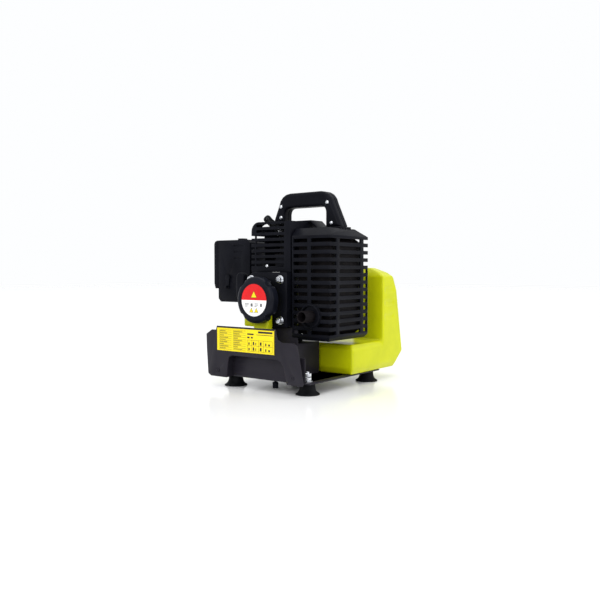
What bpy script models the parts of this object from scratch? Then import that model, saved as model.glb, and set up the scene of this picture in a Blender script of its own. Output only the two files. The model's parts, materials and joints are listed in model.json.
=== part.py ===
"""Portable two-stroke fire pump on a sheet-metal tray, modelled as separate pieces.

X runs along the front plate to the right, Y runs back to the pump, Z is up. Lengths are in metres.
Every piece is laid out from the centre of the four feet; the root empty then puts the origin
under the middle of the whole machine. Moving pieces have their origin on their own joint axis.
"""
import math

import bmesh
import bpy
from mathutils import Vector

# ---------------------------------------------------------------- clearances and stock
GAP = 0.0003            # between two pieces that touch
RUN = 0.0003            # running clearance of shafts and levers
SHEET = 0.002           # pressed steel sheet
WALL = 0.003            # moulded covers
THIN_WALL = 0.0025

# ---------------------------------------------------------------- feet and tray
FEET_X = 0.0779         # half the foot spacing across
FEET_Y = 0.0890         # half the foot spacing front to back
FOOT_HEIGHT = 0.0177
FOOT_BRIM_R = 0.0199
FOOT_NECK_R = 0.0122
FOOT_SOCKET_Z = 0.008   # bottom of the stud hole in the rubber
STUD_R = 0.0028
NUT_R = 0.0058
NUT_H = 0.0060
WASHER_R = 0.0080
WASHER_H = 0.0015
NUT_APART = 0.0006
FRONT_NUTS = 2
REAR_NUTS = 1
STUD_STICKS_OUT = 0.002
TRAY_Z = 0.018          # underside of the tray
TRAY_X = 0.094          # half width
TRAY_FRONT = -0.105
TRAY_REAR = 0.108
FLANGE_TOP = 0.060
FLANGE_RIGHT = 0.084

# ---------------------------------------------------------------- front plate
PLATE_FRONT = -0.124
PLATE_LEFT = -0.115
PLATE_RIGHT = 0.095
LABEL_TOP = 0.105       # top of the raised middle of the plate
LABEL_LEFT = -0.089
LABEL_RIGHT = 0.038
LABEL_LOW = 0.063
LABEL_HIGH = 0.103
DATA_PLATE = 0.0005     # thickness of the glued data plate
PLATE_SCREWS = ((-0.087, 0.029), (0.074, 0.030))
PLATE_SCREW_R = 0.0022      # the plate's two screw holes
SPACER_R = 0.0050

# ---------------------------------------------------------------- crank axis and engine
CRANK_X = -0.0235
CRANK_Z = 0.1495
SHAFT_R = 0.006
BEARING_R = 0.013
BEARING_W = 0.011
WEB_R = 0.026
WEB_W = 0.008
CRANK_THROW = 0.014
CRANK_PIN_R = 0.004
CHAMBER_R = 0.029
CASE_FRONT = -0.0417
CASE_REAR = 0.038
CASE_LEFT = -0.062
CASE_RIGHT = 0.015
CASE_LOW = 0.098
CASE_TOP = 0.1915
CYL_Y = -0.002          # cylinder axis, midway between the crank webs
BORE_R = 0.016
FIN_R = 0.030
BARREL_R = 0.0205
FIN_PITCH = 0.0088
FIN_THICK = 0.0025
FIN_COUNT = 7
HEAD_TOP = 0.266
PISTON_LOW = 0.198
PISTON_H = 0.026

# ---------------------------------------------------------------- fan housing and recoil starter
HOUSING_FRONT = -0.070
HOUSING_LEFT = -0.070
HOUSING_RIGHT = 0.020
HOUSING_LOW = 0.104
HOUSING_TOP = 0.196
BOLT_DX = 0.0320        # bolt pattern about the crank axis
BOLT_DZ = 0.0345
BOLT_R = 0.003
BOLT_BOSS_R = 0.0065
BOLT_BOSS_FRONT = -0.072
BOLT_DEPTH = -0.028     # where the bolts end in the crankcase
BOLT_HEAD_R = 0.0048
SOCKET_R = 0.0024
BOLT_HEAD_H = 0.0058
BOLT_WASHER_R = 0.0070
FLYWHEEL_R = 0.036
FLYWHEEL_BACK = -0.045
FLYWHEEL_DISC = -0.049
FLYWHEEL_FRONT = -0.0555
BLADES = 12
PULLEY_R = 0.025
PULLEY_Y = -0.061
PULLEY_W = 0.006
PULLEY_PIN_R = 0.004
ROPE_R = 0.00175
GROOVE_R = 0.0204
SPRING_TURNS = 4
SPRING_STRIP = 0.0006
GRIP_LEFT = -0.097
GRIP_RIGHT = -0.079
GRIP_HALF_Z = 0.0240
GRIP_HALF_Y = 0.0070
STOP_Y = -0.056
STOP_Z = 0.122
STOP_R = 0.0075
STOP_STEM_R = 0.004
STOP_STEM = 0.006        # length of the stem inside the housing
STOP_TRAVEL = 0.0025

# ---------------------------------------------------------------- engine cover
COVER_LEFT = -0.067
COVER_RIGHT = 0.020
COVER_FRONT = -0.060
COVER_REAR = 0.034
COVER_LOW = HOUSING_TOP + GAP
COVER_TOP = 0.283
COVER_CORNER = 0.016
LOUVRE_PITCH = 0.0097
LOUVRE_H = 0.0045
LOUVRES = 8
SIDE_LOUVRES = 6         # lower rows that also wrap round the left corner
LOUVRE_LOW = 0.2035
COVER_SCREW_X = -0.0314
COVER_SCREW_Z = 0.2069

# ---------------------------------------------------------------- muffler and guard
GUARD_LEFT = 0.023
GUARD_RIGHT = 0.100
GUARD_FRONT = -0.060
GUARD_REAR = 0.057
GUARD_LOW = 0.083
GUARD_SHOULDER = 0.257
GUARD_TOP = 0.270
SLOT_PITCH = 0.0127
SLOT_H = 0.0063
SLOTS = 13
OPEN_SLOTS = 4          # top rows that run out through the guard's rear edge
SLOT_LOW = 0.0965
MUFFLER_LEFT = 0.028
MUFFLER_RIGHT = 0.093
MUFFLER_FRONT = -0.048
MUFFLER_REAR = 0.044
MUFFLER_LOW = 0.090
MUFFLER_TOP = 0.256
MUFFLER_SHELL = 0.0015
EXHAUST_FLANGE_R = 0.015
EXHAUST_X = 0.062
EXHAUST_Z = 0.1235
EXHAUST_R = 0.010
EXHAUST_BORE = 0.008
EXHAUST_END = -0.085
RING_R = 0.0200
RING_BORE = 0.0172
RING_FRONT = -0.0640
PORT_Z = 0.212
PORT_R = 0.0090

# ---------------------------------------------------------------- handle
HANDLE_FRONT = -0.005
HANDLE_DEPTH = 0.026
HANDLE_X = 0.007
HANDLE_HALF_BASE = 0.070
HANDLE_FLARE = 0.007      # the right leg's foot reaches out by this much more
HANDLE_HALF_TOP = 0.058
HANDLE_TOP = 0.336
GRIP_THICK = 0.026
LEG_WIDTH = 0.025
BASE_SHEET = 0.003
HANDLE_SCREWS = ((-0.0446, 0.3128), (-0.0446, 0.2935), (0.0561, 0.3155), (0.0650, 0.2800))
HANDLE_SCREW_R = 0.0018

# ---------------------------------------------------------------- intake side
CARB_Y = 0.008
CARB_Z = 0.168
CARB_LEFT = -0.0990
CARB_RIGHT = -0.0740
CARB_HALF_Y = 0.014
CARB_HALF_Z = 0.016
INTAKE_R = 0.008
BOX_LEFT = -0.197
BOX_LID = -0.186        # plane where the lid meets the housing
BOX_RIGHT = -0.106
BOX_FRONT = -0.020
BOX_REAR = 0.045
BOX_LOW = 0.140
BOX_TOP = 0.256
LID_LOW = 0.165
PRIMER_X = -0.0865
PRIMER_Z = 0.1590
PRIMER_R = 0.0070
PRIMER_TRAVEL = 0.004
CHOKE_X = -0.160
CHOKE_Z = 0.186
LEVER_THICK = 0.0025
LEVER_PIN_R = 0.0020

# ---------------------------------------------------------------- fuel tank and cap
TANK_Z = TRAY_Z + SHEET + GAP
TANK_LEFT = -0.095
TANK_RIGHT = 0.100
TANK_FRONT = 0.009      # front of the low part beside the engine
TANK_REAR = 0.182
TANK_STEP = 0.072       # top of the low part
TANK_TOWER_LEFT = 0.035
TANK_TOWER_FRONT = 0.110
TANK_TOP = 0.204
TANK_NOSE_FRONT = -0.098
TANK_NOSE_REAR = -0.066
TANK_NOSE_RIGHT = -0.008
TANK_NOSE_TOP = 0.099
TANK_TOE_RIGHT = 0.024   # low toe of the nose, over the drain
TANK_TOE_TOP = 0.045
TANK_ARM_RIGHT = -0.050
NECK_R = 0.027
NECK_BORE = 0.022
NECK_END = -0.099
NECK_DEPTH = 0.015
SPOUT_FRONT = -0.0865
SPOUT_REAR = -0.0725
SPOUT_LUG_REAR = -0.0805
SPOUT_WIDTH = 0.031
CAP_R = 0.0395
CAP_FRONT = -0.104
CAP_REAR = -0.087
CAP_FACE_R = 0.035
CAP_NOTCH_R = 0.009
CAP_NOTCH_AT = 0.045
GASKET_R = 0.026
KNOB_X = 0.010
KNOB_Y = -0.088
KNOB_R = 0.005
KNOB_LOW = 0.003
KNOB_TOP = 0.014
KNOB_STEM_R = 0.002

# ---------------------------------------------------------------- engine mount
MOUNT_LEFT = -0.044
MOUNT_RIGHT = 0.034
MOUNT_FRONT = -0.058
MOUNT_REAR = 0.004
MOUNT_TOP = 0.076
MOUNT_WALL = 0.004
ISOLATOR_R = 0.010
ISOLATORS_X = (-0.031, 0.003)
ISOLATOR_Y = -0.020

# ---------------------------------------------------------------- pump
PUMP_R = 0.050          # bolted flange
VOLUTE_R = 0.046
VOLUTE_BORE = 0.040
BACKPLATE_REAR = 0.046
VOLUTE_REAR = 0.086
VOLUTE_FLANGE = 0.0055
VOLUTE_WALL = 0.006
SEAL_R = 0.012
IMPELLER_R = 0.034
IMPELLER_FRONT = 0.052
IMPELLER_REAR = 0.070
IMPELLER_HUB_R = 0.010
VANES = 6
VANE_HALF = 0.0013
SUCTION_R = 0.022
SUCTION_BORE = 0.015
SUCTION_END = 0.122
OUTLET_DX = -0.027
OUTLET_Y = 0.066
OUTLET_R = 0.018
OUTLET_BORE = 0.012
OUTLET_TOP = 0.246
PUMP_BOLT_CIRCLE = 0.0455
PUMP_BOLT_R = 0.0024
PUMP_BOLT_END = 0.026
PLUG_DX = 0.016
PLUG_R = 0.009
PLUG_BOSS_R = 0.012
PLUG_BOSS_TOP = 0.2015
PLUG_STEM_R = 0.006

COARSE = 12
ROUND = 18
FINE = 28


# ================================================================ mesh helpers
def clear_scene():
    for item in list(bpy.data.objects):
        bpy.data.objects.remove(item)


def material(name, colour, roughness=0.5, metallic=0.0):
    found = bpy.data.materials.get(name)
    if found:
        return found
    made = bpy.data.materials.new(name)
    made.use_nodes = True
    shader = made.node_tree.nodes["Principled BSDF"]
    shader.inputs["Base Color"].default_value = (*colour, 1.0)
    shader.inputs["Roughness"].default_value = roughness
    shader.inputs["Metallic"].default_value = metallic
    return made


def black_plastic():
    return material("black_plastic", (0.016, 0.018, 0.021), 0.55)


def black_steel():
    return material("black_steel", (0.020, 0.021, 0.024), 0.45, 0.2)


def rubber():
    return material("rubber", (0.014, 0.014, 0.015), 0.8)


def zinc():
    return material("zinc_steel", (0.62, 0.63, 0.65), 0.3, 1.0)


def cast_aluminium():
    return material("cast_aluminium", (0.42, 0.43, 0.45), 0.5, 0.9)


def dark_metal():
    return material("dark_metal", (0.05, 0.05, 0.055), 0.6, 0.6)


def lime_plastic():
    return material("lime_plastic", (0.62, 0.74, 0.02), 0.35)


def yellow_film():
    return material("yellow_film", (0.95, 0.83, 0.02), 0.4)


def foam():
    return material("foam", (0.10, 0.10, 0.10), 0.9)


def prism(bm, outline, axis, low, high):
    """Extrudes a closed 2-D outline along X, Y or Z. The outline holds the other two coordinates."""
    def point(a, b, along):
        if axis == "X":
            return (along, a, b)
        if axis == "Y":
            return (a, along, b)
        return (a, b, along)

    start = [bm.verts.new(point(a, b, low)) for a, b in outline]
    face = bm.faces.new(start)
    grown = bmesh.ops.extrude_face_region(bm, geom=[face])["geom"]
    moved = [item for item in grown if isinstance(item, bmesh.types.BMVert)]
    shift = Vector(point(0.0, 0.0, high - low))
    bmesh.ops.translate(bm, vec=shift, verts=moved)


def block(bm, x0, x1, y0, y1, z0, z1):
    prism(bm, [(x0, y0), (x1, y0), (x1, y1), (x0, y1)], "Z", z0, z1)


def circle(cx, cy, radius, count, start=0.0):
    step = 2 * math.pi / count
    return [(cx + radius * math.cos(start + i * step), cy + radius * math.sin(start + i * step))
            for i in range(count)]


def rod(bm, axis, a, b, radius, low, high, count=COARSE, start=0.0):
    """A cylinder along an axis; a and b are its centre in the other two coordinates."""
    prism(bm, circle(a, b, radius, count, start), axis, low, high)


def arc(cx, cy, radius, from_deg, to_deg, steps):
    points = []
    for i in range(steps + 1):
        angle = math.radians(from_deg + (to_deg - from_deg) * i / steps)
        points.append((cx + radius * math.cos(angle), cy + radius * math.sin(angle)))
    return points


def turned(bm, profile, axis, a=0.0, b=0.0, count=ROUND):
    """Turns a profile of (radius, along) points about an axis.

    The profile starts and ends on the axis, or closes on itself.
    """
    rings = []
    for radius, along in profile:
        if radius <= 0.0:
            spots = [(a, b)]
        else:
            spots = circle(a, b, radius, count)
        if axis == "X":
            rings.append([bm.verts.new((along, p, q)) for p, q in spots])
        elif axis == "Y":
            rings.append([bm.verts.new((p, along, q)) for p, q in spots])
        else:
            rings.append([bm.verts.new((p, q, along)) for p, q in spots])
    closes = profile[0][0] > 0.0
    pairs = list(zip(rings, rings[1:]))
    if closes:
        pairs.append((rings[-1], rings[0]))
    for first, second in pairs:
        if len(first) == len(second) == 1:
            continue
        for i in range(count):
            j = (i + 1) % count
            corners = [first[i % len(first)], first[j % len(first)],
                       second[j % len(second)], second[i % len(second)]]
            bm.faces.new(list(dict.fromkeys(corners)))


def loft(bm, rings):
    """A closed tapered box through rings of (z, x0, x1, y0, y1)."""
    levels = []
    for z, x0, x1, y0, y1 in rings:
        levels.append([bm.verts.new(p) for p in ((x0, y0, z), (x1, y0, z), (x1, y1, z), (x0, y1, z))])
    bm.faces.new(levels[0])
    bm.faces.new(levels[-1])
    for low, high in zip(levels, levels[1:]):
        for i in range(4):
            j = (i + 1) % 4
            bm.faces.new([low[i], low[j], high[j], high[i]])


def finish_mesh(name, bm, smooth=True):
    bmesh.ops.recalc_face_normals(bm, faces=bm.faces)
    mesh = bpy.data.meshes.new(name)
    bm.to_mesh(mesh)
    bm.free()
    if smooth:
        mesh.shade_smooth()
        mesh.set_sharp_from_angle(angle=math.radians(35))
    return mesh


def piece(name, bm, look, parent, at=(0.0, 0.0, 0.0)):
    """A named sub-part. Its mesh is laid out about `at`, which is where its own origin lies."""
    made = bpy.data.objects.new(name, finish_mesh(name, bm))
    made.data.materials.append(look)
    bpy.context.scene.collection.objects.link(made)
    made.parent = parent
    made.location = at
    return made


def tool(owner, bm, operation):
    """A hidden shape that is cut from, or joined to, its owner."""
    name = "%s_%s_%d" % (owner.name, operation.lower(), len(owner.modifiers))
    made = bpy.data.objects.new(name, finish_mesh(name, bm, smooth=False))
    bpy.context.scene.collection.objects.link(made)
    made.hide_render = True
    made.display_type = "WIRE"
    made.parent = owner.parent
    made.location = owner.location
    change = owner.modifiers.new(name, "BOOLEAN")
    change.operation = operation
    change.solver = "EXACT"
    change.object = made
    return made


def cut(owner, bm):
    return tool(owner, bm, "DIFFERENCE")


def join(owner, bm):
    return tool(owner, bm, "UNION")


def soften(owner, width, segments=1, angle=40):
    """Rounds the edges that are sharper than the angle."""
    bevel = owner.modifiers.new("edges", "BEVEL")
    bevel.width = width
    bevel.segments = segments
    bevel.limit_method = "ANGLE"
    bevel.angle_limit = math.radians(angle)
    bevel.harden_normals = False


def new():
    return bmesh.new()


def empty(name, parent, at):
    made = bpy.data.objects.new(name, None)
    bpy.context.scene.collection.objects.link(made)
    made.parent = parent
    made.location = at
    return made


# ================================================================ base
def foot_spots():
    return [(sx * FEET_X, sy * FEET_Y) for sy in (-1, 1) for sx in (-1, 1)]


def make_feet(root):
    hole = STUD_R + GAP
    for number, (x, y) in enumerate(foot_spots(), 1):
        bm = new()
        turned(bm, [(0.0, 0.0045), (0.012, 0.0025), (0.0150, 0.0), (FOOT_BRIM_R, 0.0),
                    (FOOT_BRIM_R, 0.0016), (0.0145, 0.0060), (FOOT_NECK_R, 0.0115),
                    (FOOT_NECK_R, FOOT_HEIGHT), (hole, FOOT_HEIGHT), (hole, FOOT_SOCKET_Z),
                    (0.0, FOOT_SOCKET_Z)], "Z", count=COARSE)
        piece("foot_%d" % number, bm, rubber(), root, (x, y, 0.0))


def stud_top(nuts):
    """Top of a foot stud that carries this many nuts on its washer."""
    return TRAY_Z + SHEET + GAP + WASHER_H + nuts * (NUT_H + NUT_APART) + STUD_STICKS_OUT


def make_foot_studs(root):
    """Stud, washer and clamped nuts of each foot; the two front ones have a second, locking nut."""
    seat = TRAY_Z + SHEET + GAP
    for number, (x, y) in enumerate(foot_spots(), 1):
        nuts = FRONT_NUTS if y < 0 else REAR_NUTS
        bm = new()
        rod(bm, "Z", 0.0, 0.0, STUD_R, FOOT_SOCKET_Z + GAP, stud_top(nuts), 12)
        stud = piece("foot_stud_%d" % number, bm, zinc(), root, (x, y, 0.0))
        bm = new()
        rod(bm, "Z", 0.0, 0.0, WASHER_R, seat, seat + WASHER_H, COARSE, 0.1)
        join(stud, bm)
        for i in range(nuts):
            low = seat + WASHER_H - 0.0002 + i * (NUT_H + NUT_APART)
            bm = new()
            rod(bm, "Z", 0.0, 0.0, NUT_R, low, low + NUT_H, 6, 0.2)
            join(stud, bm)


def make_tray(root):
    top = TRAY_Z + SHEET
    bm = new()
    block(bm, -TRAY_X, TRAY_X, TRAY_FRONT, TRAY_REAR, TRAY_Z, top)
    tray = piece("base_tray", bm, black_steel(), root)
    bm = new()
    block(bm, -TRAY_X, FLANGE_RIGHT, TRAY_FRONT, TRAY_FRONT + SHEET, TRAY_Z, FLANGE_TOP)
    join(tray, bm)
    bm = new()
    for x, y in foot_spots():
        rod(bm, "Z", x, y, STUD_R + GAP, TRAY_Z - SHEET, top + SHEET, 12)
    rod(bm, "Z", KNOB_X, KNOB_Y, KNOB_STEM_R + GAP, TRAY_Z - SHEET, top + SHEET, 12)
    for x, z in PLATE_SCREWS:
        rod(bm, "Y", x, z, PLATE_SCREW_R + GAP, TRAY_FRONT - SHEET, TRAY_FRONT + 2 * SHEET, 12)
    cut(tray, bm)


def make_front_plate(root):
    """The bent sheet that carries the data plate, with a cut-out between its two legs."""
    low = TRAY_Z
    outline = [(-0.104, low), (-0.111, 0.022), (-0.114, LABEL_LOW), (PLATE_LEFT, 0.090),
               (-0.102, 0.098), (-0.092, 0.098), (-0.090, LABEL_TOP), (0.039, LABEL_TOP),
               (0.043, 0.089), (0.052, 0.0845), (0.076, 0.0845), (0.083, 0.081), (PLATE_RIGHT, 0.021),
               (0.093, low), (0.062, low), (0.056, 0.046), (0.050, 0.0535), (0.043, 0.0565),
               (-0.056, 0.0565), (-0.062, 0.0530), (-0.064, 0.047), (-0.068, low)]
    bm = new()
    prism(bm, outline, "Y", PLATE_FRONT, PLATE_FRONT + SHEET)
    plate = piece("front_plate", bm, black_steel(), root)
    bm = new()
    back = TRAY_FRONT - GAP
    for x, z in PLATE_SCREWS:
        rod(bm, "Y", x, z, SPACER_R, PLATE_FRONT + SHEET / 2, back, COARSE)
    join(plate, bm)
    bm = new()
    block(bm, -0.0700, -0.0680, PLATE_FRONT + SHEET / 2, back, low, 0.056)
    join(plate, bm)
    bm = new()
    for x, z in PLATE_SCREWS:
        rod(bm, "Y", x, z, PLATE_SCREW_R + GAP, PLATE_FRONT - SHEET, back + SHEET, 12)
    cut(plate, bm)

    bm = new()
    prism(bm, [(LABEL_LEFT, LABEL_LOW), (LABEL_RIGHT, LABEL_LOW), (LABEL_RIGHT, LABEL_HIGH),
               (LABEL_LEFT, LABEL_HIGH)], "Y", PLATE_FRONT - GAP - DATA_PLATE, PLATE_FRONT - GAP)
    piece("data_plate", bm, yellow_film(), root)


def make_engine_mount(root):
    bm = new()
    block(bm, MOUNT_LEFT, MOUNT_RIGHT, MOUNT_FRONT, MOUNT_REAR, TRAY_Z + SHEET + GAP, MOUNT_TOP)
    mount = piece("engine_mount", bm, black_steel(), root)
    bm = new()
    block(bm, MOUNT_LEFT + MOUNT_WALL, MOUNT_RIGHT - MOUNT_WALL, MOUNT_FRONT + MOUNT_WALL,
          MOUNT_REAR + MOUNT_WALL, TRAY_Z, MOUNT_TOP - MOUNT_WALL)
    cut(mount, bm)
    low, high = MOUNT_TOP + GAP, CASE_LOW - GAP
    waist = ISOLATOR_R * 0.8
    for side, x in zip(("left", "right"), ISOLATORS_X):
        bm = new()
        turned(bm, [(0.0, low), (ISOLATOR_R, low), (ISOLATOR_R, low + 0.004), (waist, (low + high) / 2),
                    (ISOLATOR_R, high - 0.004), (ISOLATOR_R, high), (0.0, high)], "Z", count=COARSE)
        piece("engine_isolator_" + side, bm, rubber(), root, (x, ISOLATOR_Y, 0.0))


# ================================================================ fuel tank
def make_tank(root):
    bm = new()
    loft(bm, [(TANK_Z, TANK_LEFT + 0.005, TANK_RIGHT - 0.005, TANK_FRONT + 0.005, 0.155),
              (TANK_Z + 0.011, TANK_LEFT, TANK_RIGHT, TANK_FRONT, 0.161),
              (0.048, TANK_LEFT, TANK_RIGHT, TANK_FRONT, TANK_REAR),
              (0.064, TANK_LEFT, TANK_RIGHT, TANK_FRONT, TANK_REAR - 0.003),
              (TANK_STEP, TANK_LEFT + 0.006, TANK_RIGHT - 0.006, TANK_FRONT + 0.006, TANK_REAR - 0.010)])
    tank = piece("fuel_tank", bm, lime_plastic(), root)
    bm = new()
    loft(bm, [(0.050, TANK_TOWER_LEFT + 0.004, TANK_RIGHT - 0.004, TANK_TOWER_FRONT + 0.004, 0.176),
              (0.062, TANK_TOWER_LEFT, TANK_RIGHT, TANK_TOWER_FRONT, 0.1795),
              (0.163, TANK_TOWER_LEFT, TANK_RIGHT, TANK_TOWER_FRONT, 0.160),
              (0.188, TANK_TOWER_LEFT, TANK_RIGHT - 0.001, TANK_TOWER_FRONT + 0.001, 0.148),
              (0.196, TANK_TOWER_LEFT + 0.004, TANK_RIGHT - 0.012, TANK_TOWER_FRONT + 0.005, 0.143),
              (TANK_TOP, TANK_TOWER_LEFT + 0.012, TANK_RIGHT - 0.034, TANK_TOWER_FRONT + 0.010, 0.138)])
    join(tank, bm)
    bm = new()
    block(bm, TANK_LEFT + 0.002, TANK_ARM_RIGHT, TANK_NOSE_REAR - 0.010, TANK_FRONT + 0.020,
          TANK_Z + 0.001, TANK_STEP - 0.003)
    join(tank, bm)
    bm = new()
    loft(bm, [(TANK_Z + 0.0005, TANK_LEFT + 0.003, TANK_NOSE_RIGHT - 0.003,
               TANK_NOSE_FRONT + 0.003, TANK_NOSE_REAR - 0.003),
              (TANK_Z + 0.006, TANK_LEFT + 0.001, TANK_NOSE_RIGHT, TANK_NOSE_FRONT, TANK_NOSE_REAR),
              (TANK_NOSE_TOP - 0.006, TANK_LEFT + 0.001, TANK_NOSE_RIGHT, TANK_NOSE_FRONT, TANK_NOSE_REAR),
              (TANK_NOSE_TOP, TANK_LEFT + 0.006, TANK_NOSE_RIGHT - 0.005,
               TANK_NOSE_FRONT + 0.004, TANK_NOSE_REAR - 0.004)])
    join(tank, bm)
    bm = new()
    block(bm, TANK_NOSE_RIGHT - 0.012, TANK_TOE_RIGHT, TANK_NOSE_FRONT + 0.002, TANK_NOSE_REAR - 0.002,
          TANK_Z + 0.0008, TANK_TOE_TOP)
    join(tank, bm)
    bm = new()
    half = SPOUT_WIDTH / 2
    block(bm, CRANK_X - half, CRANK_X + half, SPOUT_FRONT, SPOUT_REAR, TANK_NOSE_TOP - 0.005, CRANK_Z)
    join(tank, bm)
    bm = new()
    prism(bm, [(CRANK_X - 0.0385, 0.103), (CRANK_X - 0.0385, 0.119), (CRANK_X, 0.138), (CRANK_X, 0.103)],
          "Y", SPOUT_FRONT + 0.0005, SPOUT_LUG_REAR)
    join(tank, bm)
    bm = new()
    rod(bm, "Y", CRANK_X, CRANK_Z, NECK_R, NECK_END, SPOUT_LUG_REAR - 0.0015, ROUND)
    join(tank, bm)
    bm = new()
    rod(bm, "Y", CRANK_X, CRANK_Z, NECK_BORE, NECK_END - 0.001, NECK_END + NECK_DEPTH, ROUND, 0.05)
    cut(tank, bm)
    bm = new()
    for x, y in foot_spots():
        if y > 0:
            rod(bm, "Z", x, y, WASHER_R + 0.002, TRAY_Z, stud_top(REAR_NUTS) + 0.002, COARSE)
        elif x < 0:
            block(bm, TANK_LEFT - 0.002, x + WASHER_R + 0.003, TANK_NOSE_FRONT - 0.002, y + WASHER_R + 0.003,
                  TRAY_Z, stud_top(FRONT_NUTS) + 0.002)
    cut(tank, bm)
    bm = new()
    rod(bm, "Z", KNOB_X, KNOB_Y, KNOB_STEM_R + GAP, TRAY_Z, TANK_Z + 0.012, 12)
    cut(tank, bm)


def make_cap(root):
    """Screw cap with four finger hollows, and the flat gasket between it and the neck."""
    axis = (CRANK_X, 0.0, CRANK_Z)
    inside = CAP_FRONT + WALL
    bm = new()
    turned(bm, [(0.0, CAP_FRONT), (CAP_FACE_R, CAP_FRONT), (CAP_R - 0.0015, CAP_FRONT + 0.002),
                (CAP_R, CAP_FRONT + 0.005), (CAP_R, CAP_REAR), (NECK_R + 2 * RUN, CAP_REAR),
                (NECK_R + 2 * RUN, inside), (0.0, inside)], "Y", count=FINE)
    cap = piece("fuel_cap", bm, black_plastic(), root, axis)
    bm = new()
    for quarter in range(4):
        angle = math.radians(45 + 90 * quarter)
        rod(bm, "Y", CAP_NOTCH_AT * math.cos(angle), CAP_NOTCH_AT * math.sin(angle), CAP_NOTCH_R,
            CAP_FRONT - WALL, CAP_REAR + WALL, ROUND)
    cut(cap, bm)
    bm = new()
    turned(bm, [(NECK_BORE + GAP, inside + GAP), (GASKET_R, inside + GAP), (GASKET_R, NECK_END - GAP),
                (NECK_BORE + GAP, NECK_END - GAP)], "Y", count=ROUND)
    piece("cap_gasket", bm, rubber(), root, axis)


def make_drain_knob(root):
    bm = new()
    stem_top = TANK_Z + 0.0115
    turned(bm, [(0.0, KNOB_LOW), (KNOB_R - 0.001, KNOB_LOW), (KNOB_R, KNOB_LOW + 0.001),
                (KNOB_R, KNOB_TOP - 0.002), (KNOB_R - 0.001, KNOB_TOP - 0.001), (KNOB_STEM_R, KNOB_TOP),
                (KNOB_STEM_R, stem_top), (0.0, stem_top)], "Z", count=COARSE)
    piece("drain_knob", bm, black_plastic(), root, (KNOB_X, KNOB_Y, 0.0))


# ================================================================ engine
def bolt_spots():
    return [(sx * BOLT_DX, sz * BOLT_DZ) for sz in (-1, 1) for sx in (-1, 1)]


def pump_bolt_spots():
    reach = PUMP_BOLT_CIRCLE / math.sqrt(2)
    return [(sx * reach, sz * reach) for sz in (-1, 1) for sx in (-1, 1)]


def make_crankcase(root):
    bm = new()
    corner = 0.010
    prism(bm, [(CASE_LEFT + corner, CASE_LOW), (CASE_RIGHT - corner, CASE_LOW),
               (CASE_RIGHT, CASE_LOW + corner), (CASE_RIGHT, CASE_TOP), (CASE_LEFT, CASE_TOP),
               (CASE_LEFT, CASE_LOW + corner)], "Y", CASE_FRONT, CASE_REAR)
    case = piece("crankcase", bm, cast_aluminium(), root)
    bm = new()
    rod(bm, "Y", CRANK_X, CRANK_Z, CHAMBER_R, CASE_FRONT + BEARING_W + GAP,
        CASE_REAR - BEARING_W - GAP, ROUND)
    cut(case, bm)
    bm = new()
    rod(bm, "Y", CRANK_X, CRANK_Z, BEARING_R + GAP, CASE_FRONT - 0.001, CASE_REAR + 0.001, ROUND, 0.06)
    cut(case, bm)
    bm = new()
    rod(bm, "Z", CRANK_X, CYL_Y, BORE_R, CRANK_Z, CASE_TOP + 0.001, ROUND)
    cut(case, bm)
    bm = new()
    rod(bm, "X", CARB_Y, CARB_Z, INTAKE_R, CASE_LEFT - 0.001, CASE_LEFT + 0.016, COARSE)
    cut(case, bm)
    bm = new()
    for x, z in bolt_spots():
        rod(bm, "Y", CRANK_X + x, CRANK_Z + z, BOLT_R + GAP, CASE_FRONT - 0.001, BOLT_DEPTH + 0.001, 12)
    for x, z in pump_bolt_spots():
        rod(bm, "Y", CRANK_X + x, CRANK_Z + z, PUMP_BOLT_R + GAP, PUMP_BOLT_END - 0.001,
            CASE_REAR + 0.001, 12)
    cut(case, bm)


def make_crankshaft(root):
    """Shaft, two webs and the crank pin, turning in two bearings."""
    axis = (CRANK_X, 0.0, CRANK_Z)
    web_gap = 0.006
    front_web = CYL_Y - web_gap / 2 - WEB_W
    rear_web = CYL_Y + web_gap / 2
    bm = new()
    turned(bm, [(0.0, PULLEY_Y + PULLEY_W), (SHAFT_R, PULLEY_Y + PULLEY_W), (SHAFT_R, front_web),
                (WEB_R, front_web), (WEB_R, front_web + WEB_W), (0.0, front_web + WEB_W)], "Y")
    shaft = piece("crankshaft", bm, dark_metal(), root, axis)
    bm = new()
    turned(bm, [(0.0, rear_web), (WEB_R, rear_web), (WEB_R, rear_web + WEB_W), (SHAFT_R, rear_web + WEB_W),
                (SHAFT_R, IMPELLER_REAR - 0.002), (0.0, IMPELLER_REAR - 0.002)], "Y")
    join(shaft, bm)
    bm = new()
    rod(bm, "Y", 0.0, -CRANK_THROW, CRANK_PIN_R, front_web + WEB_W / 2, rear_web + WEB_W / 2, COARSE)
    join(shaft, bm)
    for end, low in (("front", CASE_FRONT + GAP), ("rear", CASE_REAR - BEARING_W + GAP)):
        high = low + BEARING_W - 2 * GAP
        bm = new()
        turned(bm, [(SHAFT_R + RUN, low), (BEARING_R, low), (BEARING_R, high), (SHAFT_R + RUN, high)], "Y")
        piece("crank_bearing_" + end, bm, zinc(), root, axis)


def plug_frame():
    """Start and direction of the spark plug, which leans out of the head to the front left."""
    start = Vector((CRANK_X - 0.012, CYL_Y - 0.007, HEAD_TOP - 0.004))
    tip = Vector((-0.060, -0.027, 0.2925))
    return start, (tip - start).normalized(), (tip - start).length


def tilted(bm, profile, start, direction, count):
    """Turns a profile about a leaning axis."""
    local = bmesh.new()
    turned(local, profile, "Z", count=count)
    turn = Vector((0.0, 0.0, 1.0)).rotation_difference(direction)
    for vertex in local.verts:
        vertex.co = turn @ vertex.co + start
    holder = bpy.data.meshes.new("holder")
    local.to_mesh(holder)
    local.free()
    bm.from_mesh(holder)
    bpy.data.meshes.remove(holder)


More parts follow.
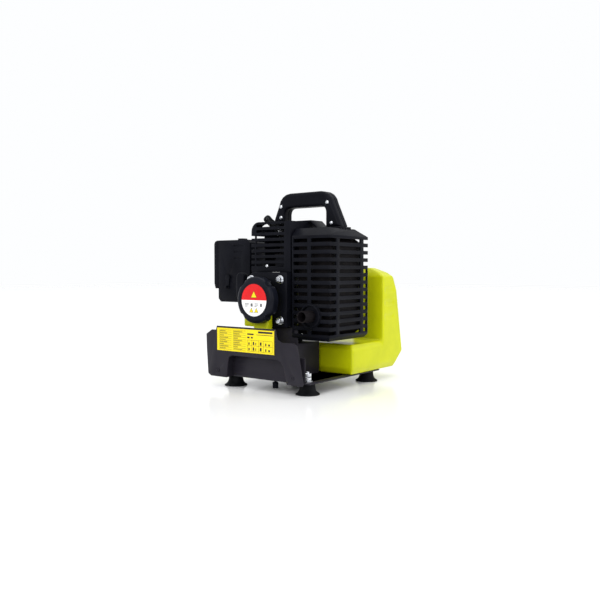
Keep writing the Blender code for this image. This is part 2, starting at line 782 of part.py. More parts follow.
def make_cylinder(root):
    low = CASE_TOP + GAP
    profile = [(0.0, HEAD_TOP - 0.016), (BORE_R, HEAD_TOP - 0.020)]
    collar = BARREL_R + 0.003
    profile += [(BORE_R, low), (collar, low), (collar, low + 0.004), (BARREL_R, low + 0.004)]
    for i in range(FIN_COUNT):
        z = low + 0.008 + i * FIN_PITCH
        profile += [(BARREL_R, z), (FIN_R, z), (FIN_R, z + FIN_THICK), (BARREL_R, z + FIN_THICK)]
    profile += [(BARREL_R, HEAD_TOP - 0.003), (BARREL_R - 0.004, HEAD_TOP), (0.0, HEAD_TOP)]
    bm = new()
    turned(bm, profile, "Z", CRANK_X, CYL_Y, COARSE)
    cylinder = piece("cylinder", bm, cast_aluminium(), root)
    bm = new()
    rod(bm, "X", CYL_Y, PORT_Z, PORT_R, CRANK_X + BORE_R + 0.002, COVER_RIGHT + GAP, COARSE)
    join(cylinder, bm)
    bm = new()
    rod(bm, "X", CYL_Y, PORT_Z, PORT_R - 0.003, CRANK_X, COVER_RIGHT + 0.002, COARSE)
    cut(cylinder, bm)
    bm = new()
    start, direction, _ = plug_frame()
    tilted(bm, [(0.0, -0.010), (0.0056, -0.010), (0.0056, 0.0042), (0.0088, 0.0042), (0.0088, 0.020),
                (0.0, 0.020)], start, direction, COARSE)
    cut(cylinder, bm)
    bm = new()
    turned(bm, [(0.0, PISTON_LOW + PISTON_H), (BORE_R - RUN, PISTON_LOW + PISTON_H - 0.001),
                (BORE_R - RUN, PISTON_LOW), (BORE_R - 0.003, PISTON_LOW),
                (BORE_R - 0.003, PISTON_LOW + PISTON_H - 0.005), (0.0, PISTON_LOW + PISTON_H - 0.004)],
           "Z", CRANK_X, CYL_Y, COARSE)
    piece("piston", bm, zinc(), root)


def make_spark_plug(root):
    start, direction, length = plug_frame()
    bm = new()
    tilted(bm, [(0.0, -0.009), (0.0052, -0.009), (0.0052, 0.0045), (0.0080, 0.0050), (0.0080, 0.0100),
                (0.0042, 0.0105), (0.0035, 0.024), (0.0, 0.024)], start, direction, 12)
    piece("spark_plug", bm, zinc(), root)
    bm = new()
    end = length + 0.0035
    tilted(bm, [(0.0047, 0.0125), (0.0072, 0.0125), (0.0064, length - 0.007), (0.0070, length - 0.003),
                (0.0050, end - 0.001), (0.0, end), (0.0, 0.0245), (0.0047, 0.0245)], start, direction, COARSE)
    piece("plug_boot", bm, rubber(), root)


def smooth_points(route, per_span):
    """Points on a Catmull-Rom curve through the route."""
    ends = [route[0]] + route + [route[-1]]
    points = []
    for a, b, c, d in zip(ends, ends[1:], ends[2:], ends[3:]):
        for i in range(per_span):
            t = i / per_span
            points.append(0.5 * ((2 * b) + (c - a) * t + (2 * a - 5 * b + 4 * c - d) * t * t
                                 + (3 * b - a - 3 * c + d) * t ** 3))
    points.append(route[-1])
    return points


def tube(name, route, radius, look, root, per_span=3):
    curve = bpy.data.curves.new(name, "CURVE")
    curve.dimensions = "3D"
    curve.bevel_depth = radius
    curve.bevel_resolution = 2
    curve.use_fill_caps = True
    points = smooth_points([Vector(p) for p in route], per_span)
    spline = curve.splines.new("POLY")
    spline.points.add(len(points) - 1)
    for slot, spot in zip(spline.points, points):
        slot.co = (*spot, 1.0)
    made = bpy.data.objects.new(name, curve)
    made.data.materials.append(look)
    bpy.context.scene.collection.objects.link(made)
    made.parent = root
    return made


def make_ignition(root):
    bm = new()
    block(bm, -0.016, 0.010, COVER_FRONT + WALL + 0.001, COVER_FRONT + WALL + 0.016,
          HOUSING_TOP + GAP, HOUSING_TOP + 0.030)
    coil = piece("ignition_coil", bm, black_plastic(), root)
    soften(coil, 0.0015)
    route = [(-0.003, -0.049, HOUSING_TOP + 0.030 + GAP), (-0.003, -0.049, 0.240), (-0.014, -0.0490, 0.262),
             (-0.032, -0.0480, 0.279), (-0.045, -0.0420, 0.2900), (-0.0535, -0.0335, 0.2905)]
    tube("ignition_lead", route, 0.0022, rubber(), root)


# ================================================================ fan housing and recoil starter
def make_fan_housing(root):
    rear = CASE_FRONT - GAP
    bm = new()
    prism(bm, [(HOUSING_LEFT + 0.008, HOUSING_LOW), (HOUSING_RIGHT, HOUSING_LOW), (HOUSING_RIGHT, HOUSING_TOP),
               (HOUSING_LEFT + 0.014, HOUSING_TOP), (HOUSING_LEFT, HOUSING_TOP - 0.014),
               (HOUSING_LEFT, HOUSING_LOW + 0.008)], "Y", HOUSING_FRONT, rear)
    housing = piece("fan_housing", bm, black_plastic(), root)
    bm = new()
    rod(bm, "Y", CRANK_X, CRANK_Z, HOUSING_RIGHT - WALL - CRANK_X, HOUSING_FRONT + WALL, rear + 0.001, ROUND)
    cut(housing, bm)
    bm = new()
    for x, z in bolt_spots():
        rod(bm, "Y", CRANK_X + x, CRANK_Z + z, BOLT_BOSS_R, BOLT_BOSS_FRONT, HOUSING_FRONT + 0.001, COARSE)
    join(housing, bm)
    bm = new()
    rod(bm, "Y", CRANK_X, CRANK_Z, PULLEY_PIN_R, HOUSING_FRONT + 0.001, PULLEY_Y + PULLEY_W / 2, COARSE)
    join(housing, bm)
    bm = new()
    for x, z in bolt_spots():
        rod(bm, "Y", CRANK_X + x, CRANK_Z + z, BOLT_R + GAP, BOLT_BOSS_FRONT - 0.001, rear + 0.001, 12)
    rod(bm, "X", PULLEY_Y, CRANK_Z + GROOVE_R + ROPE_R, ROPE_R + 0.0006, HOUSING_LEFT - 0.001,
        HOUSING_LEFT + 0.030, 12)
    rod(bm, "X", STOP_Y, STOP_Z, STOP_STEM_R + GAP, HOUSING_LEFT - 0.001,
        HOUSING_LEFT + STOP_STEM + STOP_TRAVEL + GAP, 12)
    cut(housing, bm)


def make_housing_bolts(root):
    """Socket-head bolts with their washers, through the corner bosses into the crankcase."""
    seat = BOLT_BOSS_FRONT - GAP
    head = seat - WASHER_H
    top = head - BOLT_HEAD_H
    for number, (x, z) in enumerate(bolt_spots(), 1):
        bm = new()
        turned(bm, [(0.0, top + 0.003), (SOCKET_R, top + 0.003), (SOCKET_R, top), (BOLT_HEAD_R - 0.0005, top),
                    (BOLT_HEAD_R, top + 0.0005), (BOLT_HEAD_R, head), (BOLT_WASHER_R, head),
                    (BOLT_WASHER_R, seat), (BOLT_R, seat), (BOLT_R, BOLT_DEPTH), (0.0, BOLT_DEPTH)],
               "Y", count=12)
        piece("housing_bolt_%d" % number, bm, zinc(), root, (CRANK_X + x, 0.0, CRANK_Z + z))


def make_flywheel(root):
    axis = (CRANK_X, 0.0, CRANK_Z)
    bm = new()
    rod(bm, "Y", 0.0, 0.0, FLYWHEEL_R, FLYWHEEL_DISC, FLYWHEEL_BACK, ROUND)
    wheel = piece("flywheel", bm, cast_aluminium(), root, axis)
    outline = []
    for i in range(BLADES):
        turn = 2 * math.pi * i / BLADES
        for radius, shift in ((0.018, -0.16), (FLYWHEEL_R - 0.001, -0.02), (FLYWHEEL_R - 0.001, 0.05),
                              (0.018, 0.0)):
            outline.append((radius * math.cos(turn + shift), radius * math.sin(turn + shift)))
    bm = new()
    prism(bm, outline, "Y", FLYWHEEL_FRONT, FLYWHEEL_DISC + 0.001)
    join(wheel, bm)
    bm = new()
    rod(bm, "Y", 0.0, 0.0, SHAFT_R + GAP, FLYWHEEL_FRONT - 0.001, FLYWHEEL_BACK + 0.001, COARSE, 0.1)
    cut(wheel, bm)


def make_recoil(root):
    axis = (CRANK_X, 0.0, CRANK_Z)
    front, rear = PULLEY_Y - PULLEY_W / 2, PULLEY_Y + PULLEY_W / 2
    bm = new()
    turned(bm, [(PULLEY_PIN_R + RUN, front), (PULLEY_R, front), (PULLEY_R, front + 0.001),
                (GROOVE_R, front + 0.001), (GROOVE_R, rear - 0.001), (PULLEY_R, rear - 0.001),
                (PULLEY_R, rear), (PULLEY_PIN_R + RUN, rear)], "Y", count=ROUND)
    piece("recoil_pulley", bm, black_plastic(), root, axis)

    inner, outer, per_turn = 0.0055, 0.0190, 12
    count = SPRING_TURNS * per_turn
    out_side, in_side = [], []
    for i in range(count + 1):
        angle = 2 * math.pi * i / per_turn
        radius = inner + (outer - inner) * i / count
        for side, r in ((out_side, radius + SPRING_STRIP / 2), (in_side, radius - SPRING_STRIP / 2)):
            side.append((r * math.cos(angle), r * math.sin(angle)))
    bm = new()
    low, high = HOUSING_FRONT + WALL + GAP, front - GAP
    rails = [[bm.verts.new((p[0], y, p[1])) for p in side]
             for side, y in ((out_side, low), (out_side, high), (in_side, high), (in_side, low))]
    for k in range(4):
        first, second = rails[k], rails[(k + 1) % 4]
        for i in range(count):
            bm.faces.new([first[i], first[i + 1], second[i + 1], second[i]])
    for i in (0, count):
        bm.faces.new([rail[i] for rail in rails])
    piece("recoil_spring", bm, zinc(), root, axis)

    rope_z = CRANK_Z + GROOVE_R + ROPE_R
    bm = new()
    corner = 0.0075
    half = (GRIP_RIGHT - GRIP_LEFT) / 2
    outline = (arc(half - corner, GRIP_HALF_Z - corner, corner, 0, 90, 4)
               + arc(-half + corner, GRIP_HALF_Z - corner, corner, 90, 180, 4)
               + arc(-half + corner, -GRIP_HALF_Z + corner, corner, 180, 270, 4)
               + arc(half - corner, -GRIP_HALF_Z + corner, corner, 270, 360, 4))
    prism(bm, outline, "Y", -GRIP_HALF_Y, GRIP_HALF_Y)
    grip_at = ((GRIP_LEFT + GRIP_RIGHT) / 2, PULLEY_Y, rope_z)
    grip = piece("starter_grip", bm, black_plastic(), root, grip_at)
    soften(grip, 0.003, 2, 60)
    bm = new()
    rod(bm, "X", 0.0, 0.0, ROPE_R + GAP, -half + 0.004, half + 0.001, 12)
    cut(grip, bm)
    bm = new()
    rod(bm, "X", 0.0, 0.0, ROPE_R, -half + 0.004 + GAP, CRANK_X - grip_at[0], 8)
    piece("starter_rope", bm, material("rope", (0.05, 0.05, 0.05), 0.9), root, grip_at)


def make_stop_button(root):
    bm = new()
    head = HOUSING_LEFT - GAP - STOP_TRAVEL
    turned(bm, [(0.0, head - 0.003), (STOP_R - 0.001, head - 0.003), (STOP_R, head - 0.002), (STOP_R, head),
                (STOP_STEM_R, head), (STOP_STEM_R, HOUSING_LEFT + STOP_STEM), (0.0, HOUSING_LEFT + STOP_STEM)],
           "X", 0.0, 0.0, COARSE)
    piece("stop_button", bm, material("red_plastic", (0.55, 0.02, 0.02), 0.4), root, (0.0, STOP_Y, STOP_Z))


# ================================================================ covers, muffler, handle
def make_engine_cover(root):
    def outline(inset):
        left, right, top = COVER_LEFT + inset, COVER_RIGHT - inset, COVER_TOP - inset
        corner = COVER_CORNER - inset
        low = COVER_LOW - (0.001 if inset else 0.0)
        rounded = arc(left + corner, top - corner, corner, 90, 180, 5)
        return [(left, low), (right, low), (right, top)] + rounded

    bm = new()
    prism(bm, outline(0.0), "Y", COVER_FRONT, COVER_REAR)
    cover = piece("engine_cover", bm, black_plastic(), root)
    bm = new()
    prism(bm, outline(THIN_WALL), "Y", COVER_FRONT + THIN_WALL, COVER_REAR - THIN_WALL)
    cut(cover, bm)
    bm = new()
    for i in range(LOUVRES):
        z = LOUVRE_LOW + 0.003 + i * LOUVRE_PITCH
        if i < SIDE_LOUVRES:
            block(bm, COVER_LEFT - 0.001, COVER_LEFT + 0.008, COVER_FRONT - 0.001, COVER_FRONT + 0.035,
                  z, z + LOUVRE_H)
        block(bm, COVER_LEFT + 0.011, 0.006, COVER_FRONT - 0.001, COVER_FRONT + THIN_WALL + 0.001,
              z, z + LOUVRE_H)
    cut(cover, bm)
    bm = new()
    rod(bm, "Y", COVER_SCREW_X, COVER_SCREW_Z, 0.0045, COVER_FRONT, COVER_FRONT + THIN_WALL, 12)
    join(cover, bm)
    bm = new()
    block(bm, -0.0655, -0.0340, -0.0370, -0.0060, COVER_TOP - 0.018, COVER_TOP + 0.001)
    block(bm, -0.0450, -0.0260, -0.0525, -0.0410, COVER_TOP - 0.004, COVER_TOP + 0.001)
    cut(cover, bm)
    bm = new()
    rod(bm, "X", CYL_Y, PORT_Z, PORT_R + 0.001, COVER_RIGHT - 0.006, COVER_RIGHT + 0.001, COARSE)
    rod(bm, "Y", COVER_SCREW_X, COVER_SCREW_Z, 0.0020, COVER_FRONT - 0.001, COVER_FRONT + 0.006, 12)
    cut(cover, bm)


def make_muffler(root):
    """Hollow pressed box, open to the exhaust port on its left and to the tailpipe at its front."""
    bm = new()
    loft(bm, [(MUFFLER_LOW, MUFFLER_LEFT + 0.008, MUFFLER_RIGHT - 0.008, MUFFLER_FRONT + 0.004,
               MUFFLER_REAR - 0.008),
              (MUFFLER_LOW + 0.008, MUFFLER_LEFT, MUFFLER_RIGHT, MUFFLER_FRONT, MUFFLER_REAR),
              (MUFFLER_TOP - 0.010, MUFFLER_LEFT, MUFFLER_RIGHT, MUFFLER_FRONT, MUFFLER_REAR),
              (MUFFLER_TOP, MUFFLER_LEFT + 0.010, MUFFLER_RIGHT - 0.010, MUFFLER_FRONT + 0.010,
               MUFFLER_REAR - 0.010)])
    muffler = piece("muffler", bm, dark_metal(), root)
    shell = MUFFLER_SHELL
    bm = new()
    loft(bm, [(MUFFLER_LOW + shell, MUFFLER_LEFT + 0.008, MUFFLER_RIGHT - 0.008, MUFFLER_FRONT + 0.006,
               MUFFLER_REAR - 0.008),
              (MUFFLER_LOW + 0.008, MUFFLER_LEFT + shell, MUFFLER_RIGHT - shell, MUFFLER_FRONT + shell,
               MUFFLER_REAR - shell),
              (MUFFLER_TOP - 0.010, MUFFLER_LEFT + shell, MUFFLER_RIGHT - shell, MUFFLER_FRONT + shell,
               MUFFLER_REAR - shell),
              (MUFFLER_TOP - shell, MUFFLER_LEFT + 0.011, MUFFLER_RIGHT - 0.011, MUFFLER_FRONT + 0.011,
               MUFFLER_REAR - 0.011)])
    cut(muffler, bm)
    bm = new()
    rod(bm, "X", CYL_Y, PORT_Z, PORT_R, COVER_RIGHT + 2 * GAP, MUFFLER_LEFT + 0.001, COARSE)
    join(muffler, bm)
    bm = new()
    rod(bm, "X", CYL_Y, PORT_Z, PORT_R - 0.003, COVER_RIGHT, MUFFLER_LEFT + 0.010, COARSE)
    rod(bm, "Y", EXHAUST_X, EXHAUST_Z, EXHAUST_BORE, MUFFLER_FRONT - 0.001, MUFFLER_FRONT + 0.012, COARSE)
    cut(muffler, bm)
    bm = new()
    flange = MUFFLER_FRONT - GAP
    turned(bm, [(EXHAUST_BORE, flange), (EXHAUST_FLANGE_R, flange), (EXHAUST_FLANGE_R, flange - 0.003),
                (EXHAUST_R, flange - 0.003), (EXHAUST_R, EXHAUST_END), (EXHAUST_BORE, EXHAUST_END)],
           "Y", EXHAUST_X, EXHAUST_Z, COARSE)
    piece("exhaust_pipe", bm, dark_metal(), root)


def make_guard(root):
    """Slotted cover round the muffler, open towards the engine and at the rear."""
    bm = new()
    loft(bm, [(GUARD_LOW, GUARD_LEFT, GUARD_RIGHT - 0.005, GUARD_FRONT + 0.005, GUARD_REAR - 0.003),
              (GUARD_LOW + 0.006, GUARD_LEFT, GUARD_RIGHT, GUARD_FRONT, GUARD_REAR),
              (GUARD_SHOULDER, GUARD_LEFT, GUARD_RIGHT, GUARD_FRONT, GUARD_REAR),
              (GUARD_TOP, GUARD_LEFT, GUARD_RIGHT - 0.012, GUARD_FRONT + 0.012, GUARD_REAR - 0.024)])
    guard = piece("muffler_guard", bm, black_plastic(), root)
    bm = new()
    loft(bm, [(GUARD_LOW + WALL, GUARD_LEFT - 0.001, GUARD_RIGHT - WALL - 0.001, GUARD_FRONT + WALL + 0.001,
               GUARD_REAR + 0.001),
              (GUARD_SHOULDER - 0.001, GUARD_LEFT - 0.001, GUARD_RIGHT - WALL, GUARD_FRONT + WALL,
               GUARD_REAR + 0.001),
              (GUARD_TOP - WALL, GUARD_LEFT - 0.001, GUARD_RIGHT - WALL - 0.012, GUARD_FRONT + WALL + 0.012,
               GUARD_REAR - 0.024)])
    cut(guard, bm)
    bm = new()
    for i in range(SLOTS):
        z0 = SLOT_LOW + i * SLOT_PITCH - SLOT_H / 2
        z1 = z0 + SLOT_H
        wall_in = GUARD_FRONT + WALL + 0.002
        block(bm, GUARD_LEFT + 0.003, EXHAUST_X - 0.007, GUARD_FRONT - 0.001, wall_in, z0, z1)
        block(bm, EXHAUST_X + 0.0005, GUARD_RIGHT + 0.001, GUARD_FRONT - 0.001, GUARD_FRONT + 0.020, z0, z1)
        side_in = GUARD_RIGHT - WALL - 0.002
        block(bm, side_in, GUARD_RIGHT + 0.001, GUARD_FRONT + 0.029, GUARD_REAR - 0.024, z0, z1)
        rear_end = GUARD_REAR + 0.002 if i >= SLOTS - OPEN_SLOTS else GUARD_REAR - 0.003
        block(bm, side_in, GUARD_RIGHT + 0.001, GUARD_REAR - 0.014, rear_end, z0, z1)
    cut(guard, bm)
    bm = new()
    rod(bm, "Y", EXHAUST_X, EXHAUST_Z, RING_R, RING_FRONT, GUARD_FRONT + WALL, ROUND)
    join(guard, bm)
    bm = new()
    rod(bm, "Y", EXHAUST_X, EXHAUST_Z, RING_BORE, RING_FRONT - 0.001, GUARD_FRONT + WALL + 0.001, ROUND)
    cut(guard, bm)


def base_line(x):
    """Height of the handle base's upper face at x."""
    return COVER_TOP + GAP + BASE_SHEET if x < COVER_RIGHT else GUARD_TOP + GAP + BASE_SHEET


def make_handle(root):
    y0, y1 = HANDLE_FRONT - 0.004, HANDLE_FRONT + HANDLE_DEPTH + 0.004
    high, low = COVER_TOP + GAP, GUARD_TOP + GAP
    right = GUARD_RIGHT - 0.014
    bm = new()
    prism(bm, [(COVER_LEFT + 0.004, high), (COVER_RIGHT + 0.004, high), (COVER_RIGHT + 0.018, low),
               (right, low),
               (right, low + BASE_SHEET), (COVER_RIGHT + 0.019, low + BASE_SHEET),
               (COVER_RIGHT + 0.005, high + BASE_SHEET), (COVER_LEFT + 0.004, high + BASE_SHEET)],
          "Y", y0, y1)
    piece("handle_base", bm, black_plastic(), root)

    foot_left = base_line(HANDLE_X - HANDLE_HALF_BASE) + GAP
    right_out = HANDLE_X + HANDLE_HALF_BASE + HANDLE_FLARE
    foot_right = base_line(right_out) + GAP
    under = HANDLE_TOP - GRIP_THICK
    outer_r, inner_r = 0.024, 0.010
    left_top, right_top = HANDLE_X - HANDLE_HALF_TOP, HANDLE_X + HANDLE_HALF_TOP
    left_in = HANDLE_X - HANDLE_HALF_BASE + LEG_WIDTH
    right_in = HANDLE_X + HANDLE_HALF_BASE - LEG_WIDTH
    outline = [(HANDLE_X - HANDLE_HALF_BASE, foot_left)]
    outline += arc(left_top + outer_r, HANDLE_TOP - outer_r, outer_r, 170, 90, 4)
    outline += arc(right_top - outer_r, HANDLE_TOP - outer_r, outer_r, 90, 10, 4)
    outline += [(right_out, foot_right), (right_in, foot_right)]
    outline += arc(right_in - inner_r, under - inner_r, inner_r, 0, 90, 3)
    outline += arc(left_in + inner_r, under - inner_r, inner_r, 90, 180, 3)
    outline += [(left_in, foot_left)]
    split = HANDLE_FRONT + HANDLE_DEPTH / 2
    halves = (("handle_front", HANDLE_FRONT, split - GAP / 2),
              ("handle_rear", split + GAP / 2, HANDLE_FRONT + HANDLE_DEPTH))
    for name, front, rear in halves:
        bm = new()
        prism(bm, outline, "Y", front, rear)
        face_y = front if name == "handle_front" else rear
        outside = [e for e in bm.edges if all(abs(v.co.y - face_y) < 1e-6 for v in e.verts)]
        bmesh.ops.bevel(bm, geom=outside, offset=0.0045, segments=2, profile=0.5, affect="EDGES",
                        clamp_overlap=True)
        half = piece(name, bm, black_plastic(), root)
        bm = new()
        screw_end = rear if name == "handle_front" else HANDLE_FRONT + HANDLE_DEPTH - 0.006
        for x, z in HANDLE_SCREWS:
            rod(bm, "Y", x, z, HANDLE_SCREW_R + GAP, HANDLE_FRONT - 0.002, screw_end, 12)
        cut(half, bm)


# ================================================================ intake side
def make_carburettor(root):
    bm = new()
    low, high = CARB_Z - CARB_HALF_Z, CARB_Z + CARB_HALF_Z
    block(bm, CARB_LEFT, CARB_RIGHT, CARB_Y - CARB_HALF_Y, CARB_Y + CARB_HALF_Y, low, high)
    carb = piece("carburettor", bm, cast_aluminium(), root)
    soften(carb, 0.002)
    bm = new()
    rod(bm, "X", CARB_Y, CARB_Z, INTAKE_R, CARB_LEFT - 0.001, CARB_RIGHT + 0.001, COARSE)
    rod(bm, "Y", PRIMER_X, PRIMER_Z, PRIMER_R + RUN, CARB_Y - CARB_HALF_Y - 0.001,
        CARB_Y - CARB_HALF_Y + PRIMER_TRAVEL + 0.001, COARSE)
    rod(bm, "Y", PRIMER_X, CARB_Z, LEVER_PIN_R + RUN, CARB_Y + CARB_HALF_Y - 0.005,
        CARB_Y + CARB_HALF_Y + 0.001, 12)
    cut(carb, bm)

    bm = new()
    block(bm, CARB_RIGHT + GAP, CASE_LEFT - GAP, CARB_Y - CARB_HALF_Y, CARB_Y + CARB_HALF_Y, low + 0.002,
          high - 0.002)
    insulator = piece("intake_insulator", bm, material("phenolic", (0.03, 0.02, 0.02), 0.6), root)
    bm = new()
    rod(bm, "X", CARB_Y, CARB_Z, INTAKE_R, CARB_RIGHT, CASE_LEFT, COARSE)
    cut(insulator, bm)

    bm = new()
    seat = CARB_Y - CARB_HALF_Y + 0.0008
    turned(bm, [(0.0, seat), (PRIMER_R, seat), (PRIMER_R, seat - 0.0035), (PRIMER_R - 0.0015, seat - 0.0075),
                (PRIMER_R - 0.0045, seat - 0.0095), (0.0, seat - 0.0100)], "Y", count=COARSE)
    piece("primer_bulb", bm, material("clear_rubber", (0.5, 0.2, 0.1), 0.3), root, (PRIMER_X, 0.0, PRIMER_Z))

    bm = new()
    face = CARB_Y + CARB_HALF_Y + RUN
    outline = arc(0.0, 0.0, 0.005, 60, 300, 8) + [(0.018, -0.0030), (0.0195, 0.0), (0.018, 0.0030)]
    prism(bm, outline, "Y", face, face + LEVER_THICK)
    lever = piece("throttle_lever", bm, zinc(), root, (PRIMER_X, 0.0, CARB_Z))
    bm = new()
    rod(bm, "Y", 0.0, 0.0, LEVER_PIN_R, face - 0.0045, face + LEVER_THICK + 0.001, 12)
    join(lever, bm)


def make_air_filter(root):
    bm = new()
    chamfer = 0.006
    right, left = BOX_RIGHT, BOX_LID + GAP
    prism(bm, [(left + chamfer, BOX_LOW), (right - 0.014, BOX_LOW), (right, BOX_LOW + 0.014),
               (right, BOX_TOP - 0.006),
               (right - 0.006, BOX_TOP), (left, BOX_TOP), (left, BOX_LOW + chamfer)], "Y", BOX_FRONT, BOX_REAR)
    housing = piece("filter_housing", bm, black_plastic(), root)
    bm = new()
    neck = 0.022
    block(bm, BOX_RIGHT - 0.001, CARB_LEFT - GAP, CARB_Y - neck, CARB_Y + neck, CARB_Z - neck, CARB_Z + neck)
    join(housing, bm)
    bm = new()
    block(bm, left - 0.001, right - WALL, BOX_FRONT + THIN_WALL, BOX_REAR - THIN_WALL, LID_LOW + 0.004,
          BOX_TOP - THIN_WALL)
    block(bm, left + WALL + 0.004, right - 0.016, BOX_FRONT + THIN_WALL, BOX_REAR - THIN_WALL, BOX_LOW - 0.001,
          LID_LOW - 0.003)
    cut(housing, bm)
    bm = new()
    rod(bm, "X", CARB_Y, CARB_Z + 0.010, INTAKE_R - 0.002, right - WALL - 0.001, CARB_LEFT, COARSE)
    block(bm, left + 0.010, left + 0.033, BOX_FRONT - 0.001, BOX_FRONT + 0.0012, 0.176, 0.240)
    for i, z in enumerate((0.243, 0.232, 0.220)):
        block(bm, left + 0.040, left + 0.066 - 0.004 * i, BOX_FRONT - 0.001, BOX_FRONT + 0.0012, z, z + 0.0035)
    rod(bm, "Y", CHOKE_X, CHOKE_Z, LEVER_PIN_R + RUN, BOX_FRONT - 0.001, BOX_FRONT + THIN_WALL + 0.001, 12)
    cut(housing, bm)
    bm = new()
    block(bm, -0.150, -0.138, -0.004, 0.010, BOX_TOP - 0.001, BOX_TOP + 0.0035)
    join(housing, bm)

    bm = new()
    block(bm, BOX_LID + 0.006, BOX_RIGHT - WALL - 0.004, BOX_FRONT + 0.004, BOX_REAR - 0.004,
          LID_LOW + 0.004 + GAP,
          BOX_TOP - 0.005)
    element = piece("filter_element", bm, foam(), root)
    soften(element, 0.003)

    bm = new()
    wide = BOX_LID - BOX_LEFT
    tall = BOX_TOP - LID_LOW
    corner = 0.008
    prism(bm, [(0.0, 0.0), (0.0, tall)] + arc(-wide + corner, tall - corner, corner, 90, 180, 4)
          + [(-wide, 0.010), (-wide + 0.003, 0.0)], "Y", BOX_FRONT, BOX_REAR)
    lid = piece("filter_lid", bm, black_plastic(), root, (BOX_LID, 0.0, LID_LOW))
    bm = new()
    prism(bm, [(0.001, THIN_WALL + 0.002), (0.001, tall - THIN_WALL), (-wide + 0.005, tall - THIN_WALL - 0.001),
               (-wide + THIN_WALL, tall - 0.010), (-wide + THIN_WALL, THIN_WALL + 0.002)], "Y",
          BOX_FRONT + THIN_WALL, BOX_REAR - THIN_WALL)
    cut(lid, bm)

    bm = new()
    face = BOX_FRONT - RUN
    outline = arc(0.0, 0.0, 0.0055, 330, 570, 8) + [(-0.0030, -0.020), (0.0, -0.0215), (0.0030, -0.020)]
    prism(bm, outline, "Y", face - LEVER_THICK, face)
    choke = piece("choke_lever", bm, black_plastic(), root, (CHOKE_X, 0.0, CHOKE_Z))
    bm = new()
    rod(bm, "Y", 0.0, 0.0, LEVER_PIN_R, face - LEVER_THICK / 2, BOX_FRONT + THIN_WALL, 12)
    block(bm, -0.0022, 0.0022, face - 0.008, face - LEVER_THICK / 2, -0.0200, -0.0150)
    join(choke, bm)

    tube("fuel_line", [(-0.082, -0.030, TANK_STEP - 0.003 + 2 * GAP), (-0.082, -0.030, 0.084),
                       (-0.083, -0.018, 0.108), (-0.0865, 0.002, 0.128), (-0.0875, 0.010, 0.142),
                       (-0.0875, 0.010, CARB_Z - CARB_HALF_Z - 2 * GAP)],
         0.0028, rubber(), root, 2)


